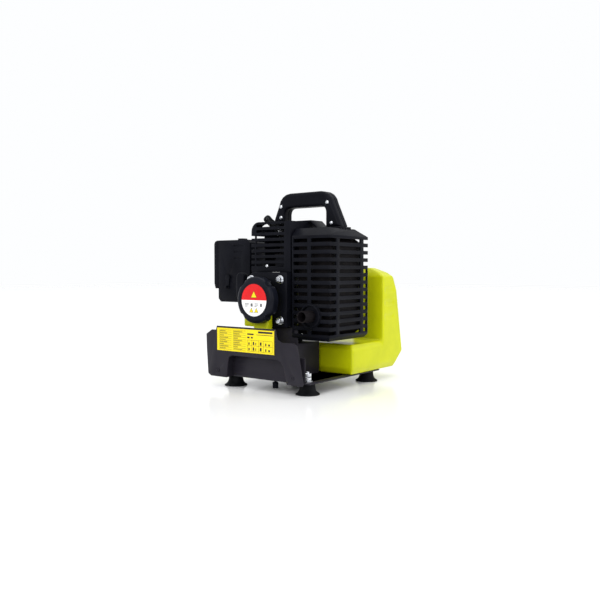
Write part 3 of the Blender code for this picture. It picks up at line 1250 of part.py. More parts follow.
# ================================================================ pump
def make_pump(root):
    axis = (CRANK_X, 0.0, CRANK_Z)
    front = CASE_REAR + GAP
    bm = new()
    turned(bm, [(SEAL_R + GAP, front), (PUMP_R, front), (PUMP_R, BACKPLATE_REAR),
                (SEAL_R + GAP, BACKPLATE_REAR)],
           "Y", CRANK_X, CRANK_Z, FINE)
    plate = piece("pump_backplate", bm, cast_aluminium(), root)
    bm = new()
    for x, z in pump_bolt_spots():
        rod(bm, "Y", CRANK_X + x, CRANK_Z + z, PUMP_BOLT_R + GAP, front - 0.001, BACKPLATE_REAR + 0.001, 12)
    cut(plate, bm)

    bm = new()
    turned(bm, [(SHAFT_R + RUN, front + 0.0002), (SEAL_R, front + 0.0002), (SEAL_R, BACKPLATE_REAR - 0.0002),
                (SHAFT_R + RUN, BACKPLATE_REAR - 0.0002)], "Y", CRANK_X, CRANK_Z, ROUND)
    piece("shaft_seal", bm, rubber(), root)

    low = BACKPLATE_REAR + GAP
    flange = low + VOLUTE_FLANGE
    inside = VOLUTE_REAR - VOLUTE_WALL
    bm = new()
    turned(bm, [(VOLUTE_BORE, low), (PUMP_R, low), (PUMP_R, flange), (VOLUTE_R, flange),
                (VOLUTE_R, inside - 0.002),
                (VOLUTE_R - 0.008, VOLUTE_REAR), (SUCTION_R, VOLUTE_REAR), (SUCTION_R, SUCTION_END),
                (SUCTION_BORE, SUCTION_END), (SUCTION_BORE, inside), (VOLUTE_BORE, inside)],
           "Y", CRANK_X, CRANK_Z, FINE)
    volute = piece("pump_volute", bm, cast_aluminium(), root)
    outlet_x = CRANK_X + OUTLET_DX
    bm = new()
    rod(bm, "Z", outlet_x, OUTLET_Y, OUTLET_R, CRANK_Z + 0.004, OUTLET_TOP, ROUND)
    join(volute, bm)
    bm = new()
    rod(bm, "Z", CRANK_X + PLUG_DX, OUTLET_Y, PLUG_BOSS_R, CRANK_Z + VOLUTE_BORE - 0.002, PLUG_BOSS_TOP, COARSE)
    join(volute, bm)
    bm = new()
    rod(bm, "Y", CRANK_X, CRANK_Z, VOLUTE_BORE, low - 0.001, inside, FINE)
    cut(volute, bm)
    bm = new()
    rod(bm, "Z", outlet_x, OUTLET_Y, OUTLET_BORE, CRANK_Z + 0.012, OUTLET_TOP + 0.001, ROUND, 0.05)
    cut(volute, bm)
    bm = new()
    rod(bm, "Z", CRANK_X + PLUG_DX, OUTLET_Y, PLUG_STEM_R + RUN, CRANK_Z + 0.025, PLUG_BOSS_TOP + 0.001, COARSE)
    for x, z in pump_bolt_spots():
        rod(bm, "Y", CRANK_X + x, CRANK_Z + z, PUMP_BOLT_R + GAP, low - 0.001, flange + 0.001, 12)
    cut(volute, bm)

    bm = new()
    rod(bm, "Y", 0.0, 0.0, IMPELLER_R, IMPELLER_FRONT, IMPELLER_FRONT + 0.003, ROUND)
    impeller = piece("impeller", bm, cast_aluminium(), root, axis)
    rows = ((IMPELLER_HUB_R, 0.0), (0.020, 0.45), (IMPELLER_R - 0.001, 1.0))
    outline = []
    for k in range(VANES):
        base = 2 * math.pi * k / VANES
        for side, steps in ((-1, rows), (1, reversed(rows))):
            for radius, sweep in steps:
                angle = base + sweep + side * VANE_HALF / radius
                outline.append((radius * math.cos(angle), radius * math.sin(angle)))
    bm = new()
    prism(bm, outline, "Y", IMPELLER_FRONT + 0.001, IMPELLER_REAR - 0.001)
    join(impeller, bm)
    bm = new()
    rod(bm, "Y", 0.0, 0.0, SHAFT_R + GAP, IMPELLER_FRONT - 0.001, IMPELLER_REAR, COARSE, 0.1)
    cut(impeller, bm)

    bm = new()
    seat = PLUG_BOSS_TOP + GAP
    turned(bm, [(0.0, seat - 0.010), (PLUG_STEM_R, seat - 0.010), (PLUG_STEM_R, seat), (PLUG_BOSS_R, seat),
                (PLUG_BOSS_R, seat + 0.004), (PLUG_R, seat + 0.005), (PLUG_R, seat + 0.010), (0.0, seat + 0.010)],
           "Z", count=COARSE)
    plug = piece("priming_plug", bm, black_plastic(), root, (CRANK_X + PLUG_DX, OUTLET_Y, 0.0))
    bm = new()
    block(bm, -PLUG_R - 0.006, PLUG_R + 0.006, -0.0025, 0.0025, seat + 0.006, seat + 0.013)
    join(plug, bm)


def build():
    clear_scene()
    middle_x = (BOX_LEFT + TANK_RIGHT) / 2
    front = PLATE_FRONT - GAP - DATA_PLATE
    middle_y = (front + TANK_REAR) / 2
    root = empty("pump_set", None, (-middle_x, -middle_y, 0.0))
    makers = (make_feet, make_foot_studs, make_tray, make_front_plate, make_engine_mount, make_tank, make_cap,
              make_drain_knob, make_crankcase, make_crankshaft, make_cylinder, make_spark_plug, make_ignition,
              make_fan_housing, make_housing_bolts, make_flywheel, make_recoil, make_stop_button,
              make_engine_cover, make_muffler, make_guard, make_handle, make_carburettor, make_air_filter, make_pump)
    for make in makers:
        make(root)


build()
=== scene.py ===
import json
import math

import bpy
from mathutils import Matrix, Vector


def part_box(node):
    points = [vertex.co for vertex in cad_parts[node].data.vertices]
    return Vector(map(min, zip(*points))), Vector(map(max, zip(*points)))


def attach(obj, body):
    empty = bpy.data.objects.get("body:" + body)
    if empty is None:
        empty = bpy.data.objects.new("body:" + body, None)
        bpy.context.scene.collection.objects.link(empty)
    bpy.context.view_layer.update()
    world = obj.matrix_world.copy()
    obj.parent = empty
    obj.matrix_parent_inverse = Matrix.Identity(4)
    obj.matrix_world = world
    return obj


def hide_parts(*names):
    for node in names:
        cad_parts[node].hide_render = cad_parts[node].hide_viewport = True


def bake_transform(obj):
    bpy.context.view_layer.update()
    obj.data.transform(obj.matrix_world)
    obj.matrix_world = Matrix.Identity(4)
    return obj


# Looks of a portable fire pump: soft-edged covers, fasteners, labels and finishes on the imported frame.
# Lengths are in metres, +Z up, -Y towards the front plate, +X towards the muffler guard.

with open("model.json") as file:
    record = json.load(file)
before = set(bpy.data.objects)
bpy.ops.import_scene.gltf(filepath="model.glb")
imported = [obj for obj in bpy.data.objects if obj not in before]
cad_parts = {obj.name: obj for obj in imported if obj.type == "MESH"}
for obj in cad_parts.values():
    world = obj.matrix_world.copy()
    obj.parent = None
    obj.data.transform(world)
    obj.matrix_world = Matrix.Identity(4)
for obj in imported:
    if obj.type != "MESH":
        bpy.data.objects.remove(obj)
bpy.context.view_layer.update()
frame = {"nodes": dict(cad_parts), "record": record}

MM = 0.001
ROUND_STEPS = 64        # sides of a turned piece that is seen large
SMALL_STEPS = 32        # sides of screws and other small turned pieces

# Directions that turned pieces grow along.
RIGHT = Vector((1.0, 0.0, 0.0))
BACK = Vector((0.0, 1.0, 0.0))
FRONT = -BACK
UP = Vector((0.0, 0.0, 1.0))


def middle(node):
    """Centre of a node's box."""
    low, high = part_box(node)
    return (Vector(low) + Vector(high)) / 2


CRANK = middle("fuel_cap")


# ---------------------------------------------------------------- colours and shader nodes
def srgb(text):
    """Linear colour, with alpha, of an sRGB hex value."""
    parts = [int(text[i:i + 2], 16) / 255 for i in (1, 3, 5)]
    return tuple(p / 12.92 if p <= 0.04045 else ((p + 0.055) / 1.055) ** 2.4 for p in parts) + (1.0,)


def add(material, kind, inputs=None, stops=None, **settings):
    """Adds a node with its settings, socket values, links and, for a ramp, its colour stops."""
    tree = material.node_tree
    made = tree.nodes.new(kind)
    for key, value in settings.items():
        setattr(made, key, value)
    for key, value in (inputs or {}).items():
        if isinstance(value, bpy.types.NodeSocket):
            tree.links.new(value, made.inputs[key])
        else:
            made.inputs[key].default_value = value
    for i, (place, colour) in enumerate(stops or []):
        ramp = made.color_ramp.elements
        stop = ramp[i] if i < 2 else ramp.new(place)
        stop.position = place
        stop.color = srgb(colour)
    return made


def surface(name, colours, patch_mm, grain_mm, depth_mm, rough, metallic=0.0, stretch=(1.0, 1.0, 1.0),
            specular=0.5):
    """A finish whose colour drifts in patches and whose gloss and height follow a finer grain.

    Returns the material and its shader, for a finish that adds to them.
    """
    material = bpy.data.materials.new(name)
    material.use_nodes = True
    shader = material.node_tree.nodes["Principled BSDF"]
    shader.inputs["Metallic"].default_value = metallic
    shader.inputs["Specular IOR Level"].default_value = specular
    place = add(material, "ShaderNodeTexCoord").outputs["Object"]
    spread = add(material, "ShaderNodeMapping", {"Vector": place, "Scale": stretch}).outputs["Vector"]
    patch = add(material, "ShaderNodeTexNoise",
                {"Vector": place, "Scale": 1 / (patch_mm * MM), "Detail": 4.0})
    tone = add(material, "ShaderNodeValToRGB", {"Fac": patch.outputs["Fac"]},
               stops=[(0.3, colours[0]), (0.7, colours[1])])
    grain = add(material, "ShaderNodeTexNoise",
                {"Vector": spread, "Scale": 1 / (grain_mm * MM), "Detail": 3.0})
    gloss = add(material, "ShaderNodeMapRange", {"Value": grain.outputs["Fac"], "From Min": 0.3,
                                                 "From Max": 0.7, "To Min": rough[0], "To Max": rough[1]})
    bump = add(material, "ShaderNodeBump", {"Height": grain.outputs["Fac"], "Distance": depth_mm * MM,
                                            "Strength": 1.0})
    links = material.node_tree.links
    links.new(tone.outputs["Color"], shader.inputs["Base Color"])
    links.new(gloss.outputs["Result"], shader.inputs["Roughness"])
    links.new(bump.outputs["Normal"], shader.inputs["Normal"])
    return material, shader


def moulded_nylon():
    """Glass-filled nylon, spark-eroded mould: near black with a blue cast, a fine matt grain.

    The real grain is 0.3 mm; it is drawn at 1.2 mm so that it still shows. The grain traps most of the gloss.
    """
    return surface("moulded_nylon", ("#0A0B11", "#12131A"), 45, 1.2, 0.035, (0.34, 0.50), specular=0.06)[0]


def cap_polypropylene():
    """Moulded polypropylene: a little glossier and bluer than nylon, with faint handling marks."""
    return surface("cap_polypropylene", ("#0D0F17", "#171923"), 25, 0.9, 0.02, (0.28, 0.42), specular=0.1)[0]


def powder_coat():
    """Polyester powder coat on steel: dark grey satin with the shallow orange peel of a baked finish."""
    return surface("powder_coat", ("#211F26", "#2A282F"), 60, 2.2, 0.03, (0.30, 0.42), specular=0.12)[0]


def moulded_rubber():
    """Vulcanised rubber: deep black, dull, with a greyish bloom in patches."""
    return surface("moulded_rubber", ("#08090B", "#131417"), 9, 0.7, 0.03, (0.50, 0.70), specular=0.08)[0]


def zinc_plate():
    """Bright zinc plating on steel fasteners: clean silver with a faint blue passivation."""
    return surface("zinc_plate", ("#C9CCD2", "#E6E8EB"), 3, 0.5, 0.006, (0.16, 0.30), 1.0)[0]


def cast_aluminium():
    """Die-cast aluminium, shot blasted: light grey with a fine pitted skin."""
    return surface("cast_aluminium", ("#8F9296", "#B4B7BA"), 14, 0.8, 0.06, (0.38, 0.58), 1.0)[0]


def heat_darkened_steel():
    """Black stove paint on mild steel that runs hot: burnt brown in patches and quite dull."""
    return surface("heat_darkened_steel", ("#0D0C0F", "#1B1719"), 8, 0.9, 0.05, (0.45, 0.70),
                   specular=0.08)[0]


def ground_steel():
    """Ground and oiled steel of shafts and bearings: silver with fine turning marks."""
    return surface("ground_steel", ("#9FA2A6", "#C4C6C9"), 6, 0.6, 0.004, (0.18, 0.32), 1.0, (1, 12, 1))[0]


def blow_moulded_polyethylene():
    """Blow-moulded polyethylene: lime, waxy, a little light passing into it, with a soft orange peel."""
    material, shader = surface("blow_moulded_polyethylene", ("#C0C604", "#CED208"), 40, 3.0, 0.05,
                                  (0.30, 0.42), specular=0.25)
    shader.inputs["Subsurface Weight"].default_value = 0.18
    shader.inputs["Subsurface Radius"].default_value = (0.9, 1.0, 0.2)
    shader.inputs["Subsurface Scale"].default_value = 3 * MM
    return material


def printed_film(name, colour, darker):
    """Printed polyester film: one even ink colour under a clear gloss face."""
    material, shader = surface(name, (darker, colour), 20, 1.5, 0.004, (0.18, 0.28))
    shader.inputs["Specular IOR Level"].default_value = 0.3
    shader.inputs["Coat Weight"].default_value = 0.12
    shader.inputs["Coat Roughness"].default_value = 0.12
    return material


def open_cell_foam():
    """Reticulated foam: charcoal, with pores about 1.5 mm across that swallow the light."""
    return surface("open_cell_foam", ("#1A1B1E", "#33353A"), 1.5, 1.5, 0.6, (0.85, 0.95))[0]


def phenolic_board():
    """Pressed phenolic: dark red-brown, dense and slightly glossy with fibre flecks."""
    return surface("phenolic_board", ("#3A1F18", "#55301F"), 2, 1.0, 0.01, (0.35, 0.5), 0.0, (1, 1, 6))[0]


def amber_rubber():
    """Translucent nitrile of a primer bulb: amber, with light passing into its thin wall."""
    material, shader = surface("amber_rubber", ("#B4703A", "#C98A52"), 4, 0.8, 0.01, (0.22, 0.34))
    shader.inputs["Transmission Weight"].default_value = 0.35
    return material


def signal_red():
    """Red polycarbonate of the stop button: even and glossy."""
    return surface("signal_red", ("#B3161B", "#C81E22"), 6, 0.8, 0.006, (0.22, 0.34))[0]


def braided_cord():
    """Nylon braid: charcoal strands crossing at a slant, about 1.4 mm apart."""
    material, shader = surface("braided_cord", ("#2A2C30", "#45474C"), 3, 0.6, 0.05, (0.6, 0.8))
    place = add(material, "ShaderNodeTexCoord").outputs["Object"]
    strands = add(material, "ShaderNodeTexWave", {"Vector": place, "Scale": 1 / (9 * MM), "Distortion": 0.0},
                  bands_direction="DIAGONAL")
    bump = add(material, "ShaderNodeBump", {"Height": strands.outputs["Fac"], "Distance": 0.35 * MM,
                                            "Strength": 1.0})
    material.node_tree.links.new(bump.outputs["Normal"], shader.inputs["Normal"])
    return material


NYLON = moulded_nylon()
CAP_PLASTIC = cap_polypropylene()
POWDER = powder_coat()
RUBBER = moulded_rubber()
ZINC = zinc_plate()
CAST = cast_aluminium()
HOT_STEEL = heat_darkened_steel()
GROUND = ground_steel()
LIME = blow_moulded_polyethylene()
YELLOW_FILM = printed_film("yellow_film", "#F4DE12", "#EED70E")
BLACK_INK = printed_film("black_ink", "#26251C", "#1E1D17")
GREY_INK = printed_film("grey_ink", "#6F6F70", "#646466")
OLIVE_INK = printed_film("olive_ink", "#6E6714", "#625B10")
RED_FILM = printed_film("red_film", "#DC0A12", "#D20810")
WHITE_FILM = printed_film("white_film", "#FDFDFD", "#F4F4F4")
FOAM = open_cell_foam()
PHENOLIC = phenolic_board()
AMBER = amber_rubber()
SIGNAL = signal_red()
BRAID = braided_cord()

# Finish and record slot of each node, for the nodes that stay and for the pieces that stand for them.
FINISHES = {
    "black_plastic": NYLON, "black_steel": POWDER, "rubber": RUBBER, "zinc_steel": ZINC,
    "cast_aluminium": CAST, "dark_metal": HOT_STEEL, "lime_plastic": LIME, "yellow_film": YELLOW_FILM,
    "foam": FOAM, "phenolic": PHENOLIC, "red_plastic": SIGNAL, "amber_rubber": AMBER, "cord_braid": BRAID,
}
SLOT_OF = {part["node"]: part["material_slot"] for part in frame["record"]["subparts"]}
BODY_OF = {node: body for body, nodes in frame["record"]["behaviour"]["bodies"].items() for node in nodes}


# ---------------------------------------------------------------- modelling helpers
def only(piece):
    """Selects one object and makes it the active one."""
    bpy.ops.object.select_all(action="DESELECT")
    piece.select_set(True)
    bpy.context.view_layer.objects.active = piece


def paint(piece, material):
    piece.data.materials.clear()
    piece.data.materials.append(material)


def settle(piece, smooth_deg=35):
    """Puts the piece's place into its mesh and shades it, smooth except across sharp edges."""
    only(piece)
    bpy.ops.object.transform_apply(location=True, rotation=True, scale=True)
    bpy.ops.object.shade_smooth_by_angle(angle=math.radians(smooth_deg))


def finished(piece, material, body, slot, *nodes):
    """Gives a piece its finish and its body, and hides the nodes that it stands for."""
    paint(piece, material)
    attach(piece, body)
    if nodes:
        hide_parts(*nodes)
    return piece


def stands_for(piece, node, material=None):
    """Finishes a piece that takes the place of one node."""
    slot = SLOT_OF[node]
    return finished(piece, material or FINISHES[slot], BODY_OF[node], slot, node)


def apply(piece, kind, **settings):
    """Adds a modifier and applies it at once."""
    only(piece)
    bpy.ops.object.modifier_add(type=kind)
    modifier = piece.modifiers[-1]
    for key, value in settings.items():
        setattr(modifier, key, value)
    bpy.ops.object.modifier_apply(modifier=modifier.name)


def round_edges(piece, width_mm, segments=2, angle_deg=30):
    apply(piece, "BEVEL", width=width_mm * MM, segments=segments, limit_method="ANGLE",
          angle_limit=math.radians(angle_deg), use_clamp_overlap=False, miter_outer="MITER_ARC")


def merged_copy(node, name, plain=True):
    """A copy of a node's mesh with its loose triangles joined, into whole flat faces if it is plain."""
    piece = bpy.data.objects.new(name, frame["nodes"][node].data.copy())
    bpy.context.scene.collection.objects.link(piece)
    only(piece)
    bpy.ops.object.mode_set(mode="EDIT")
    bpy.ops.mesh.select_all(action="SELECT")
    bpy.ops.mesh.remove_doubles(threshold=0.01 * MM)
    if plain:
        bpy.ops.mesh.dissolve_limited(angle_limit=math.radians(0.5))
    bpy.ops.object.mode_set(mode="OBJECT")
    return piece


def turned(name, base, direction, steps, sides=ROUND_STEPS):
    """A turned piece: a disc at base, drawn out along a direction through (radius, along) steps in mm."""
    first_radius, first_along = steps[0]
    direction = Vector(direction).normalized()
    base = Vector(base)
    lean = direction.to_track_quat("Z", "Y").to_euler()
    bpy.ops.mesh.primitive_circle_add(vertices=sides, radius=max(first_radius, 0.01) * MM, fill_type="NGON",
                                      location=base + direction * first_along * MM, rotation=lean)
    piece = bpy.context.object
    piece.name = name
    bpy.ops.object.mode_set(mode="EDIT")
    bpy.ops.mesh.select_all(action="SELECT")
    radius, along = max(first_radius, 0.01), first_along
    for next_radius, next_along in steps[1:]:
        next_radius = max(next_radius, 0.01)
        move = direction * (next_along - along) * MM
        bpy.ops.mesh.extrude_region_move(TRANSFORM_OT_translate={"value": move})
        scale = next_radius / radius
        bpy.ops.transform.resize(value=(scale, scale, scale),
                                 center_override=base + direction * next_along * MM)
        radius, along = next_radius, next_along
    bpy.ops.mesh.select_all(action="SELECT")
    bpy.ops.mesh.remove_doubles(threshold=0.001 * MM)
    bpy.ops.mesh.normals_make_consistent(inside=False)
    bpy.ops.object.mode_set(mode="OBJECT")
    return piece


def box_piece(name, low, high):
    """A block between two corners, for shaping further or for cutting with."""
    low, high = Vector(low), Vector(high)
    bpy.ops.mesh.primitive_cube_add(size=1.0, location=(low + high) / 2)
    piece = bpy.context.object
    piece.name = name
    piece.scale = high - low
    only(piece)
    bpy.ops.object.transform_apply(location=True, rotation=True, scale=True)
    return piece


def cut_with(piece, cutter):
    """Takes the cutter's shape out of the piece and removes the cutter."""
    apply(piece, "BOOLEAN", object=cutter, operation="DIFFERENCE", solver="EXACT")
    bpy.data.objects.remove(cutter)


def joined(name, pieces):
    """Several meshes as one object."""
    bpy.ops.object.select_all(action="DESELECT")
    for piece in pieces:
        piece.select_set(True)
    bpy.context.view_layer.objects.active = pieces[0]
    if len(pieces) > 1:
        bpy.ops.object.join()
    pieces[0].name = name
    return pieces[0]


def copied(piece, name, move):
    """Another of a repeated piece, with its own mesh."""
    twin = bpy.data.objects.new(name, piece.data.copy())
    bpy.context.scene.collection.objects.link(twin)
    twin.location = move
    only(twin)
    bpy.ops.object.transform_apply(location=True, rotation=True, scale=True)
    return twin


# ---------------------------------------------------------------- camera, light and floor
def make_camera():
    data = bpy.data.cameras.new("camera")
    data.lens = 42
    data.sensor_width = 36
    camera = bpy.data.objects.new("camera", data)
    camera.location = (0.7953, -1.0158, 0.200)
    camera.rotation_euler = (math.radians(90 - 2.454), 0.0, math.radians(37.31))
    bpy.context.scene.collection.objects.link(camera)
    bpy.context.scene.camera = camera


def softbox(name, place, target, size, watts):
    data = bpy.data.lights.new(name, "AREA")
    data.shape = "RECTANGLE"
    data.size, data.size_y = size
    data.energy = watts
    lamp = bpy.data.objects.new(name, data)
    lamp.location = place
    lamp.rotation_euler = (Vector(target) - Vector(place)).to_track_quat("-Z", "Y").to_euler()
    bpy.context.scene.collection.objects.link(lamp)


def make_light():
    """A bright white studio: an even surround, a large box overhead and one from each side in front."""
    world = bpy.data.worlds.new("studio")
    world.use_nodes = True
    surround = world.node_tree.nodes["Background"]
    surround.inputs["Color"].default_value = srgb("#FDFEFF")
    surround.inputs["Strength"].default_value = 1.0
    bpy.context.scene.world = world
    bpy.context.scene.view_settings.view_transform = "Standard"
    aim = (0.0, 0.0, 0.15)
    softbox("top_box", (0.1, -0.1, 1.3), aim, (1.2, 1.2), 7)
    softbox("front_box", (0.3, -1.5, 0.8), aim, (0.9, 0.9), 6)
    softbox("right_box", (1.5, 0.3, 0.7), aim, (0.7, 0.9), 4)


def make_floor():
    """A pale glossy table, wide enough to run out of sight."""
    bpy.ops.mesh.primitive_plane_add(size=14.0, location=(0.0, 0.0, -0.0002))
    floor = bpy.context.object
    floor.name = "floor"
    material = bpy.data.materials.new("white_acrylic")
    material.use_nodes = True
    shader = material.node_tree.nodes["Principled BSDF"]
    shader.inputs["Base Color"].default_value = srgb("#FDFDFD")
    shader.inputs["Roughness"].default_value = 0.16
    paint(floor, material)


# ---------------------------------------------------------------- feet and base
def make_feet():
    """Suction feet: a thin flared brim, a waisted cup and a short neck."""
    profile = [(12.0, 2.5), (15.0, 0.1), (19.7, 0.0), (19.9, 0.7), (19.4, 1.5), (17.2, 2.9), (15.2, 4.7),
               (13.8, 7.0), (12.9, 9.4), (12.3, 12.0), (12.2, 16.9), (11.7, 17.6), (3.2, 17.7)]
    for number in range(1, 5):
        node = "foot_%d" % number
        centre = middle(node)
        foot = turned("suction_" + node, (centre.x, centre.y, 0.0), UP, profile)
        settle(foot, 50)
        stands_for(foot, node)


def hex_nut(name, base, low, high):
    """A nut with the corners of both faces turned off."""
    nut = turned(name, base, UP, [(5.2, low), (5.8, low + 0.5), (5.8, high - 0.5), (5.2, high)], 6)
    settle(nut, 20)
    return nut


def make_foot_studs():
    """Threaded stud, washer and nuts that clamp each foot to the tray."""
    for number in range(1, 5):
        node = "foot_stud_%d" % number
        low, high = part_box(node)
        centre = middle(node)
        base = Vector((centre.x, centre.y, 0.0))
        top = high[2] / MM
        seat = 20.3
        washer = turned("washer", base, UP, [(3.2, seat), (7.9, seat), (8.0, seat + 0.4), (7.8, seat + 1.5),
                                             (3.2, seat + 1.5)])
        threads = [(2.7, 8.6)]
        along = 19.0
        while along < top - 1.2:
            threads += [(2.8, along), (2.45, along + 0.5)]
            along += 1.0
        threads += [(2.6, top - 0.4), (2.1, top)]
        stud = turned("stud", base, UP, threads, SMALL_STEPS)
        nuts = [hex_nut("nut", base, seat + 1.6 + i * 6.6, seat + 7.5 + i * 6.6)
                for i in range(2 if centre.y < 0 else 1)]
        piece = joined("clamp_" + node, [washer, stud] + nuts)
        settle(piece, 30)
        stands_for(piece, node)


def pan_screw(name, centre, direction, radius_mm=3.6, height_mm=2.2):
    """Pan-head screw with a cross recess, its underside on the seat."""
    head = turned(name, centre, direction,
                  [(radius_mm, 0.0), (radius_mm, 0.5), (radius_mm * 0.93, height_mm * 0.55),
                   (radius_mm * 0.70, height_mm * 0.88), (radius_mm * 0.35, height_mm), (0.0, height_mm)],
                  SMALL_STEPS)
    arm, thin = radius_mm * 0.62 * MM, radius_mm * 0.14 * MM
    low, high = height_mm * 0.45 * MM, (height_mm + 1) * MM
    for across in ((arm, thin), (thin, arm)):
        cutter = box_piece("cross", (-across[0], -across[1], low), (across[0], across[1], high))
        cutter.rotation_euler = Vector(direction).to_track_quat("Z", "Y").to_euler()
        cutter.location = centre
        cut_with(head, cutter)
    settle(head, 30)
    return head


def make_front_plate():
    plate = merged_copy("front_plate", "front_plate_sheet")
    round_edges(plate, 0.5)
    settle(plate)
    stands_for(plate, "front_plate")
    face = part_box("front_plate")[0][1]
    screw = pan_screw("plate_screw_left", (-0.0385, face, 0.029), FRONT, 3.2, 1.6)
    other = copied(screw, "plate_screw_right", (0.161, 0.0, 0.001))
    for head in (screw, other):
        finished(head, POWDER, "frame", "black_steel")


def strip(name, x0, x1, z0, z1, face, lift):
    """A flat printed patch on a front face."""
    return box_piece(name, (x0, face - lift, z0), (x1, face + 0.00002, z1))


def make_data_plate():
    """Yellow film in a black border, with rows of neutral bars where the print would be."""
    low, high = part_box("data_plate")
    face = low[1]
    left, right, bottom, top = low[0], high[0], low[2], high[2]
    lift = 0.08 * MM
    wide, tall = right - left, top - bottom
    line = 0.45 * MM
    edge = 0.8 * MM

    def bar(across, length, up, height, raised=0.0):
        """A bar from a share of the plate's width and height, and its own length and height."""
        x, z = left + wide * across, bottom + tall * up
        return strip("bar", x, x + length, z, z + height, face - raised, lift)

    bold = [bar(0.0, wide, 0.0, edge, 0.02 * MM), bar(0.0, wide, 1.0 - edge / tall, edge, 0.02 * MM),
            bar(0.0, edge, 0.0, tall, 0.02 * MM), bar(1.0 - edge / wide, edge, 0.0, tall, 0.02 * MM)]
    fine = []
    rows = 9
    for column in range(2):
        across = 0.04 + 0.25 * column
        for row in range(rows + 1):
            up = 0.08 + 0.82 * row / rows
            fine.append(bar(across, wide * 0.23, up, line))
            if row < rows:
                length = wide * (0.11, 0.16, 0.08, 0.14)[(row + column) % 4]
                fine.append(bar(across + 0.01, length, up + 0.035, 1.1 * MM))
    for across, length, up, height in ((0.545, 0.11, 0.76, 2.4), (0.545, 0.04, 0.62, 2.6),
                                       (0.61, 0.03, 0.62, 2.6), (0.73, 0.24, 0.85, 3.2),
                                       (0.70, 0.28, 0.77, 0.9)):
        bold.append(bar(across, wide * length, up, height * MM))
    for across in (0.545, 0.62, 0.735, 0.82, 0.965):
        fine.append(bar(across, line, 0.08, tall * 0.46))
    for up in (0.08, 0.31, 0.54):
        fine.append(bar(0.545, wide * 0.42, up, line))
    for across, length, height in ((0.64, 3.0, 5.5), (0.685, 1.6, 4.2), (0.76, 3.6, 5.5), (0.85, 2.4, 4.2),
                                   (0.90, 3.6, 3.2), (0.565, 2.6, 4.0)):
        for up in (0.12, 0.35):
            bold.append(bar(across, length * MM, up, height * MM))
    for name, bars, ink in (("plate_print_bold", bold, BLACK_INK), ("plate_print_fine", fine, OLIVE_INK)):
        finished(joined(name, bars), ink, "frame", "yellow_film")


def make_steelwork():
    """Pressed tray, and the engine mount with its upturned front lip, with the radius of folded sheet."""
    for node, width in (("base_tray", 0.5), ("engine_mount", 0.9)):
        piece = merged_copy(node, node + "_pressing")
        if node == "engine_mount":
            low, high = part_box(node)
            lip = box_piece("lip", (low.x + MM, low.y + 0.4 * MM, high.z - 2 * MM),
                            (high.x - MM, low.y + 2.9 * MM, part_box("fan_housing")[0].z - MM))
            apply(piece, "BOOLEAN", object=lip, operation="UNION", solver="EXACT")
            bpy.data.objects.remove(lip)
        round_edges(piece, width)
        settle(piece)
        stands_for(piece, node)


# ---------------------------------------------------------------- tank and cap
def melt(piece, cell_mm, passes, keep=1.0):
    """Melts all edges of a piece soft, as on a blow moulding or a hand grip."""
    apply(piece, "REMESH", mode="VOXEL", voxel_size=cell_mm * MM)
    apply(piece, "SMOOTH", factor=0.5, iterations=passes)
    if keep < 1.0:
        apply(piece, "DECIMATE", ratio=keep)
    settle(piece, 60)


def make_tank():
    """Blow-moulded tank, with three shallow stiffening grooves across the tower's outer side."""
    tank = merged_copy("fuel_tank", "fuel_tank_moulding")
    low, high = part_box("fuel_tank")
    for height in (111, 136, 160):
        cut_with(tank, box_piece("groove", (high.x - 1.6 * MM, high.y - 66 * MM, height * MM),
                                 (high.x + 2 * MM, high.y - 34 * MM, (height + 9) * MM)))
    melt(tank, 1.6, 12, 0.45)
    stands_for(tank, "fuel_tank")


def triangle_patch(name, centre, size, lift):
    """A plain three-sided patch, point up, on the cap's label."""
    return turned(name, centre, FRONT, [(size / MM, 0.0), (size / MM, lift / MM)], 3)


